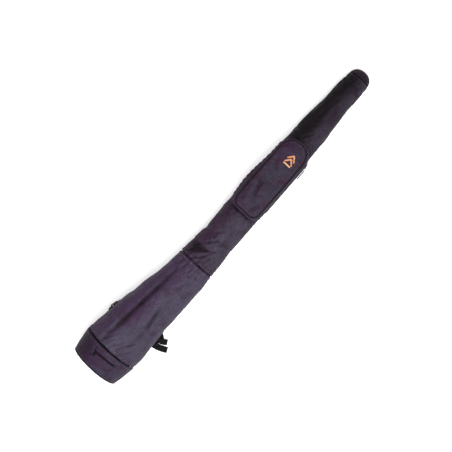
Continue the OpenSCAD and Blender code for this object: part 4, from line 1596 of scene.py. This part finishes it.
def strap_webbing(side, side_name):
    xs = np.linspace(262, 1030, 224)
    centers = np.stack([xs, strap_y(side, xs), np.full_like(xs, -101.75)], 1)
    # the lower end runs up to the lock's end bar, where the threaded end meets it
    lead = curve_through(np.vstack([in_lock(side, LEAD_START[side]),
                                    [[246.0, strap_y(side, 246.0), -101.9]], centers[:2]]), 36)
    lead_count = len(lead)
    centers = np.vstack([lead[:-1], centers[2:]])
    count = len(centers)
    tangents = unit(np.gradient(centers, axis=0))
    # the width turns from the lock's direction to lying flat
    t = smoothstep((np.arange(count) - 3) / (lead_count - 7.0))[:, None]
    level = np.stack([-tangents[:, 1], tangents[:, 0], np.zeros(count)], 1)
    level *= np.sign(tangents[:, :1])
    widths = square_to(lock_across(side) * (1 - t) + level * t, tangents)
    normals = np.cross(tangents, widths)
    # the part up to here moves with the lock
    split = int(np.argmax(centers[:, 0] >= 240.0))
    for name, part, body, replaced in (
            ("lock_lead_" + side_name, slice(0, split + 1), "buckle_" + side_name, ()),
            (f"strap_webbing_{side_name}_cloth", slice(split, None), "strap_" + side_name,
             ("strap_webbing_" + side_name,))):
        ribbon(name, centers[part], widths[part] * 12.0, normals[part], 1.4, body, replaced,
               seed=side + 2.0)


PAD_START_X, PAD_END_X = 362, 933
PAD_LOW_Z, PAD_HIGH_Z = -109.6, -103.4
PAD_MID_Z = (PAD_LOW_Z + PAD_HIGH_Z) / 2
QUILT_PITCH = 95


def strap_pad(side, side_name):
    """Shoulder pad, inflated from a slimmer start, with quilting lines and bound edges."""
    body = "strap_" + side_name
    x = np.linspace(PAD_START_X, PAD_END_X, 150)
    y = strap_y(side, x)
    # 12.5 at the ends, 20 in the middle, less the binding
    half = 12.5 + 7.5 * smoothstep((x - 370) / 60) * smoothstep((925 - x) / 60) - 1.2
    across = np.linspace(-1, 1, 12)

    def line(u, z):
        return np.stack([x, y + half * u, np.full_like(x, z)], 1)

    columns = [line(u * 0.985, PAD_LOW_Z + 1.6 * abs(u) ** 6) for u in across]
    columns.append(line(1.0, PAD_MID_Z))
    columns += [line(u * 0.985, PAD_HIGH_Z - 1.6 * abs(u) ** 6) for u in across[::-1]]
    columns.append(line(-1.0, PAD_MID_Z))
    pad = grid_object(f"strap_pad_{side_name}_soft", np.stack(columns, 1), caps=True)
    fix_normals(pad)
    co = points_of(pad)
    edge = np.abs(co[:, 2] - PAD_MID_Z) < 0.3
    quilt = np.abs(((co[:, 0] - PAD_START_X) % QUILT_PITCH) - 47) < 2.4
    ends = (co[:, 0] < 368) | (co[:, 0] > 927)
    cloth(pad, np.where(edge | quilt | ends, 1.0, 0.0), pressure=4.0, shrink=-0.02,
          limit=1.1, bend=0.3)
    subdivide(pad)
    co = points_of(pad)
    from_line = ((co[:, 0] - PAD_START_X) % QUILT_PITCH) - QUILT_PITCH / 2
    inward = np.sign(PAD_MID_Z - co[:, 2])
    co[:, 2] += (inward * 1.3 * bell(from_line, 2.0)
                 * clip01(np.abs(co[:, 2] - PAD_MID_Z) / 2))
    co[:, 2] += 0.3 * vnoise(co, 26, 2, side + 5.0) * np.abs(inward)
    co[:, 2] = np.clip(co[:, 2], -111.6, -102.6)
    set_points(pad, co)
    piece(pad, "pad", body, "strap_mesh", "strap_pad_" + side_name)
    for sign in (-1, 1):
        path = np.stack([x, y + sign * (half + 0.2), np.full_like(x, PAD_MID_Z)], 1)
        place = "in" if sign * side < 0 else "out"
        binding = tube_along(f"pad_binding_{side_name}_{place}", path, 1.5, 8)
        piece(binding, "piping", body, "piping")


for side, side_name in SIDES:
    strap_webbing(side, side_name)
    strap_pad(side, side_name)

# ---------------------------------------------------------------- lower anchors and tails
# Sewn end of each anchor loop
ANCHORS = {1: np.array([150.0, 66.0, -96.9]), -1: np.array([151.0, -67.3, -97.4])}


def anchor(side, side_name):
    """Webbing loop round the lock's bar, and the patch that holds it to the case."""
    start = ANCHORS[side]
    angles = np.radians(np.linspace(100, -230, 20))
    loop = in_lock(side, [[3.3 * math.cos(t), 0, 3.3 * math.sin(t)] for t in angles])
    before = in_lock(side, [-8, 0, 3.4])
    controls = [start, start * 0.45 + before * 0.55 + np.array([0, 0, 0.3]), before, *loop]
    path_ribbon("anchor_webbing_" + side_name, controls, lock_across(side), 10.8, 1.2, "case",
                ("anchor_loop_" + side_name,), count=90, seed=3.0 + side)
    middle = float(case_angle(152, start[1], -92))
    points = np.array([[on_skin(128 + 42 * i / 25, middle + math.radians(-13 + 26 * j / 25), 0.5)[0]
                        for j in range(26)] for i in range(26)])
    patch = grid_object("anchor_patch_" + side_name, points, columns_wrap=False, st=points)
    thicken(patch, 1.2, offset=0.0)
    fix_normals(patch)
    piece(patch, "web", "case", "webbing")
    # stitched square two rows in from the edge
    square = np.concatenate([points[2, 2:24], points[2:24, 23], points[23, 23:1:-1],
                             points[23:1:-1, 2]])
    out = square - np.array([150.0, center_y(150), center_z(150)])
    out[:, 0] = 0
    out = unit(out)
    stitches("anchor_stitches_" + side_name, square + out * 0.7, out, pitch=3.6, length=2.4)


# Right tail: out of the lock and over its end bar (lock frame), then away (case frame)
RIGHT_TAIL_LOCK = [[6, 0, -3.6], [11, 0, -3.4], [17.5, 0, 3.0], [24, 0.5, 4.4], [30, 0.0, 2.6]]
RIGHT_TAIL_END = [[222.0, -126.5, -96.4], [232.5, -143.6, -98.0]]
# Left tail: under the mouth end to the other side
LEFT_TAIL = [
    [217.5, 98, -104.0], [216.5, 80, -106.6], [214.5, 60, -110.2], [210.5, 30, -111.6],
    [200.0, -40, -111.7], [191.5, -88, -111.6], [190.0, -112, -111.4],
    [197.5, -140, -110.2], [209.5, -165.0, -110.9]]
# Webbing threaded through each lock, in its frame
THREADED = {
    1: [[36, 0, 1.9], [31, 0, 2.9], [25.7, 0, 3.2], [21.8, 0, 1.2], [20.4, 0, -0.7],
        [17.5, 0, -2.0], [14.8, 0, -0.6], [13.3, 0, 0.9], [10, 0, 1.9], [5.8, 0, 1.3]],
    -1: [[36, 0, -2.9], [31, 0, -3.5], [25.7, 0, -3.2], [22.2, 0, -1.8], [20.9, 0, 0.1],
         [20.2, 0, 1.5]]}
# Folded tail ends: side name, middle, direction, width direction
TAIL_FOLDS = [
    ("right", (230.2, -139.9, -96.6), (0.52, -0.85, -0.05), lock_across(-1)),
    ("left", (205.9, -157.6, -109.3), (0.42, -0.907, -0.03), (0.907, 0.42, 0))]

for side, side_name in SIDES:
    anchor(side, side_name)
path_ribbon("strap_tail_right_cloth", np.vstack([in_lock(-1, RIGHT_TAIL_LOCK), RIGHT_TAIL_END]),
            lock_across(-1), 11.6, 1.5, "buckle_right", ("strap_tail_right",), seed=8.0)
path_ribbon("strap_tail_left_cloth", LEFT_TAIL, (1.0, 0, 0), 12.2, 1.4, "buckle_left",
            ("strap_tail_left",), count=120, seed=9.0)
for side, side_name in SIDES:
    path_ribbon("lock_thread_" + side_name, in_lock(side, THREADED[side]), lock_across(side),
                11.7, 1.1, "buckle_" + side_name, count=70, seed=5.0 + side)
for side_name, middle, direction, across in TAIL_FOLDS:
    controls = [np.array(middle) + np.array(direction) * q for q in (-6, -3, 0, 3, 6)]
    path_ribbon("tail_fold_" + side_name, controls, across, 11.4, 1.3, "buckle_" + side_name,
                count=14, seed=4.0)

# ---------------------------------------------------------------- pieces kept from the CAD
# Pieces with rounded edges: (name, material, bevel width, segments)
BEVELLED = [
    ("ladder_lock_left", "buckle", 0.7, 3), ("ladder_lock_right", "buckle", 0.7, 3),
    ("cap_slider", "metal", 0.3, 3), ("cap_pull", "metal", 0.3, 3),
    ("pocket_slider", "metal", 0.3, 3), ("pocket_pull", "nickel", 0.08, 1)]
PAINTED = {
    "mouth_hoop": "hoop", "mouth_binding": "lining", "cap_base": "base", "cap_board": "board",
    "cap_lining": "lining", "tip_foam": "foam", "mouth_zip_stops": "nickel",
    "pocket_zip_stops": "nickel", "back_yoke": "web_cad", "pocket_lining": "lining",
    "pocket_zip_tape": "tape", "pocket_padding": "foam", "pocket_gusset": "pocket",
    "pocket_panel": "pocket"}

for name, material, width, segments in BEVELLED:
    paint(NODES[name], material)
    add_modifier(NODES[name], "BEVEL", width=width * MM, segments=segments,
                 limit_method="ANGLE", angle_limit=math.radians(40), harden_normals=False)
for name, material in PAINTED.items():
    paint(NODES[name], material)
for name in ("mouth_zip_stops", "pocket_zip_stops"):
    add_modifier(NODES[name], "BEVEL", width=0.25 * MM, segments=2, limit_method="ANGLE")

# ---------------------------------------------------------------- pocket zip and pull cord
ZIP_LENGTH = 236
ZIP_ROTATION = rotation_z(math.atan(POCKET_SLOPE))
ZIP_ORIGIN = np.array([POCKET_ZIP_X, pocket_y(POCKET_ZIP_X) - 67.4, ZIP_Z])


def in_zip(points):
    return np.asarray(points, float) @ ZIP_ROTATION.T + ZIP_ORIGIN


def pocket_zip_half(sign, half_name):
    count = int(ZIP_LENGTH / 1.9) * 8
    k = np.arange(count)
    phase = 2 * np.pi * k / 8 + (0 if sign > 0 else np.pi)
    path = np.stack([-ZIP_LENGTH + ZIP_LENGTH * (k + 0.5) / count, -1.3 + 0.95 * np.sin(phase),
                     sign * (1.75 + 0.95 * np.cos(phase))], 1)
    teeth = tube_along("pocket_zip_teeth_" + half_name, in_zip(path), 0.36, 6)
    piece(teeth, "coil", "case", "zip_coil", "pocket_zip_coil")
    seam = np.stack([np.linspace(-238, 2, 80), np.full(80, -0.45), np.full(80, sign * 5.4)], 1)
    stitches("pocket_zip_stitches_" + half_name, in_zip(seam), [ZIP_ROTATION @ -ACROSS] * 80,
             pitch=3.4, length=2.2, radius=0.34)


def pull_cord():
    """Three twisted strands with a lumpy knot at the end."""
    axis = in_zip([[-25.0 - q, -6.1, 0] for q in np.linspace(0, 36, 60)])
    side, up = ZIP_ROTATION @ ACROSS, np.array([0, 0, 1.0])
    strands = []
    for i in range(3):
        phase = np.linspace(0, 2 * np.pi * 6.5, 60) + 2 * np.pi * i / 3
        path = axis + np.outer(np.cos(phase) * 0.95, side) + np.outer(np.sin(phase) * 0.95, up)
        strands.append(tube_along(f"strand{i}", path, 1.1, 8))
    bm = bmesh.new()
    bmesh.ops.create_icosphere(bm, subdivisions=3, radius=2.6 * MM)
    for vert in bm.verts:
        co = vert.co
        lump = 1 + 0.10 * math.sin(co.x * 5200 + co.z * 3000) + 0.06 * noise.noise(co * 900)
        vert.co = Vector((co.x * lump * 0.9, co.y * lump, co.z * lump)) + Vector(axis[-1] * MM)
    mesh = bpy.data.meshes.new("knot")
    bm.to_mesh(mesh)
    bm.free()
    knot = link_mesh("knot", mesh)
    cord = join_objects("pull_cord_twist", strands[:2] + [knot])
    piece(cord, "cord", "pocket_pull", "cord", "pull_cord")
    strands[2].name = "pull_cord_light_strand"
    piece(strands[2], "cord_light", "pocket_pull", "cord")


pocket_zip_half(1, "upper")
pocket_zip_half(-1, "lower")
pull_cord()

# ---------------------------------------------------------------- embroidery on the pocket
EMBLEM_SCALE = 1.2
THREAD_SCALE = 1.15      # scale of the bars' widths
THREAD_WIDTH = 0.9
THREAD_LIFT = 0.75
CHEVRON_ARM = 22
CHEVRON_ANGLE = math.radians(38)


def satin_bar(name, start, end, start_width, end_width, count):
    """Bar of parallel raised threads laid across the line from start to end."""
    start = np.array(start) * EMBLEM_SCALE
    run = np.array(end) * EMBLEM_SCALE - start
    across = unit(np.array([-run[1], run[0]]))
    middle = np.array([EMBLEM_X, EMBLEM_Y]) + start
    verts, faces = [], []
    for i in range(count):
        t = (i + 0.5) / count
        half = (start_width + (end_width - start_width) * t) * THREAD_SCALE / 2
        first = middle + run * t + across * half
        step = -2 * half * across
        faces += thread_faces(len(verts), 7, 5)
        for j in range(7):
            u = j / 6
            center, normal = on_panel(*(first + step * u))
            center = center + normal * (THREAD_LIFT * math.sin(math.pi * (0.08 + 0.84 * u)) ** 0.6)
            side = np.cross(normal, [-across[0], -across[1], 0.0])
            verts += ring(center, THREAD_WIDTH / 2, side, normal, 5)
    return new_object(name, verts, faces)


def emblem():
    """Two chevrons with their points to +X, and a straight bar."""
    arms = []
    for k in (0, 1):
        x = 13 - 13 * k
        for s in (-1, 1):
            end = (x - CHEVRON_ARM * math.cos(CHEVRON_ANGLE),
                   -s * CHEVRON_ARM * math.sin(CHEVRON_ANGLE))
            arms.append(satin_bar(f"chev{k}{s}", (x, 0), end, 5.6, 4.2, 35))
    bar = satin_bar("bar0", (-21.7, -13), (-21.7, 13), 4.6, 4.6, 38)
    chevrons = join_objects("emblem_threads", arms)
    piece(chevrons, "orange", "case", "embroidery", "emblem_patch")
    piece(bar, "tan", "case", "embroidery")
    bar.name = "emblem_bar_threads"


emblem()


# ---------------------------------------------------------------- floor, light and camera
def build_floor():
    corners = [(-9000, -9000, FLOOR_Z), (10000, -9000, FLOOR_Z), (10000, 9000, FLOOR_Z),
               (-9000, 9000, FLOOR_Z)]
    floor = new_object("floor", corners, [(0, 1, 2, 3)], smooth=False)
    g = Material("floor_pale")
    color = g.ramp(g.noise(g.coords(), scale=3.0, detail=3, roughness=0.55),
                   [(0.3, (0.90, 0.90, 0.90)), (0.7, (0.93, 0.93, 0.93))])
    seen = g.node("LightPath").outputs["Is Camera Ray"]
    # a faint glow that only the camera sees
    floor.data.materials.append(g.finish(
        Base_Color=color, Roughness=0.9, Emission_Color=(1, 1, 1),
        Emission_Strength=g.mul(seen, 0.28)))


def area_light(name, location, target, size, power):
    """Rectangular light aimed at a target; metres and watts."""
    light = bpy.data.lights.new(name, "AREA")
    light.shape = "RECTANGLE"
    light.size, light.size_y = size
    light.energy = power
    obj = bpy.data.objects.new(name, light)
    obj.location = location
    aim = Vector(target) - Vector(location)
    obj.rotation_euler = aim.to_track_quat("-Z", "Y").to_euler()
    scene.collection.objects.link(obj)


def build_world():
    """White to the camera; brighter from above for everything else."""
    world = bpy.data.worlds.new("studio")
    scene.world = world
    world.use_nodes = True
    g = Graph(world.node_tree)
    background = world.node_tree.nodes["Background"]
    height = g.xyz(g.node("TexCoord").outputs["Generated"])[2]
    sky = g.smooth_range(height, low=0.05, high=0.95, to=(0.22, 1.10))
    camera_ray = g.node("LightPath").outputs["Is Camera Ray"]
    seen = g.mul(camera_ray, 0.96)
    lit = g.mul(g.sub(1.0, camera_ray), sky)
    g.set(background, Color=(1, 1, 1), Strength=g.add(seen, lit))


def build_camera():
    """Looks straight down on the case, turned about Z."""
    data = bpy.data.cameras.new("camera")
    data.sensor_width = 36
    data.lens = 72.7
    data.clip_end = 50
    camera = bpy.data.objects.new("camera", data)
    camera.location = (0.7138, -0.0076, 3.4)
    camera.rotation_euler = (0, 0, math.radians(-47.365))
    scene.collection.objects.link(camera)
    scene.camera = camera


build_floor()
area_light("key_low_side", location=(0.30, -0.75, 2.0), target=(0.55, -0.02, -0.05),
           size=(1.9, 0.7), power=33)
area_light("fill_mouth_end", location=(-1.0, -0.1, 1.3), target=(0.1, 0, 0),
           size=(0.7, 0.7), power=1.5)
area_light("top_soft", location=(0.65, -0.30, 2.7), target=(0.65, 0, 0),
           size=(2.6, 1.1), power=28)
scene.view_settings.view_transform = "Standard"
scene.view_settings.look = "None"
build_world()
build_camera()
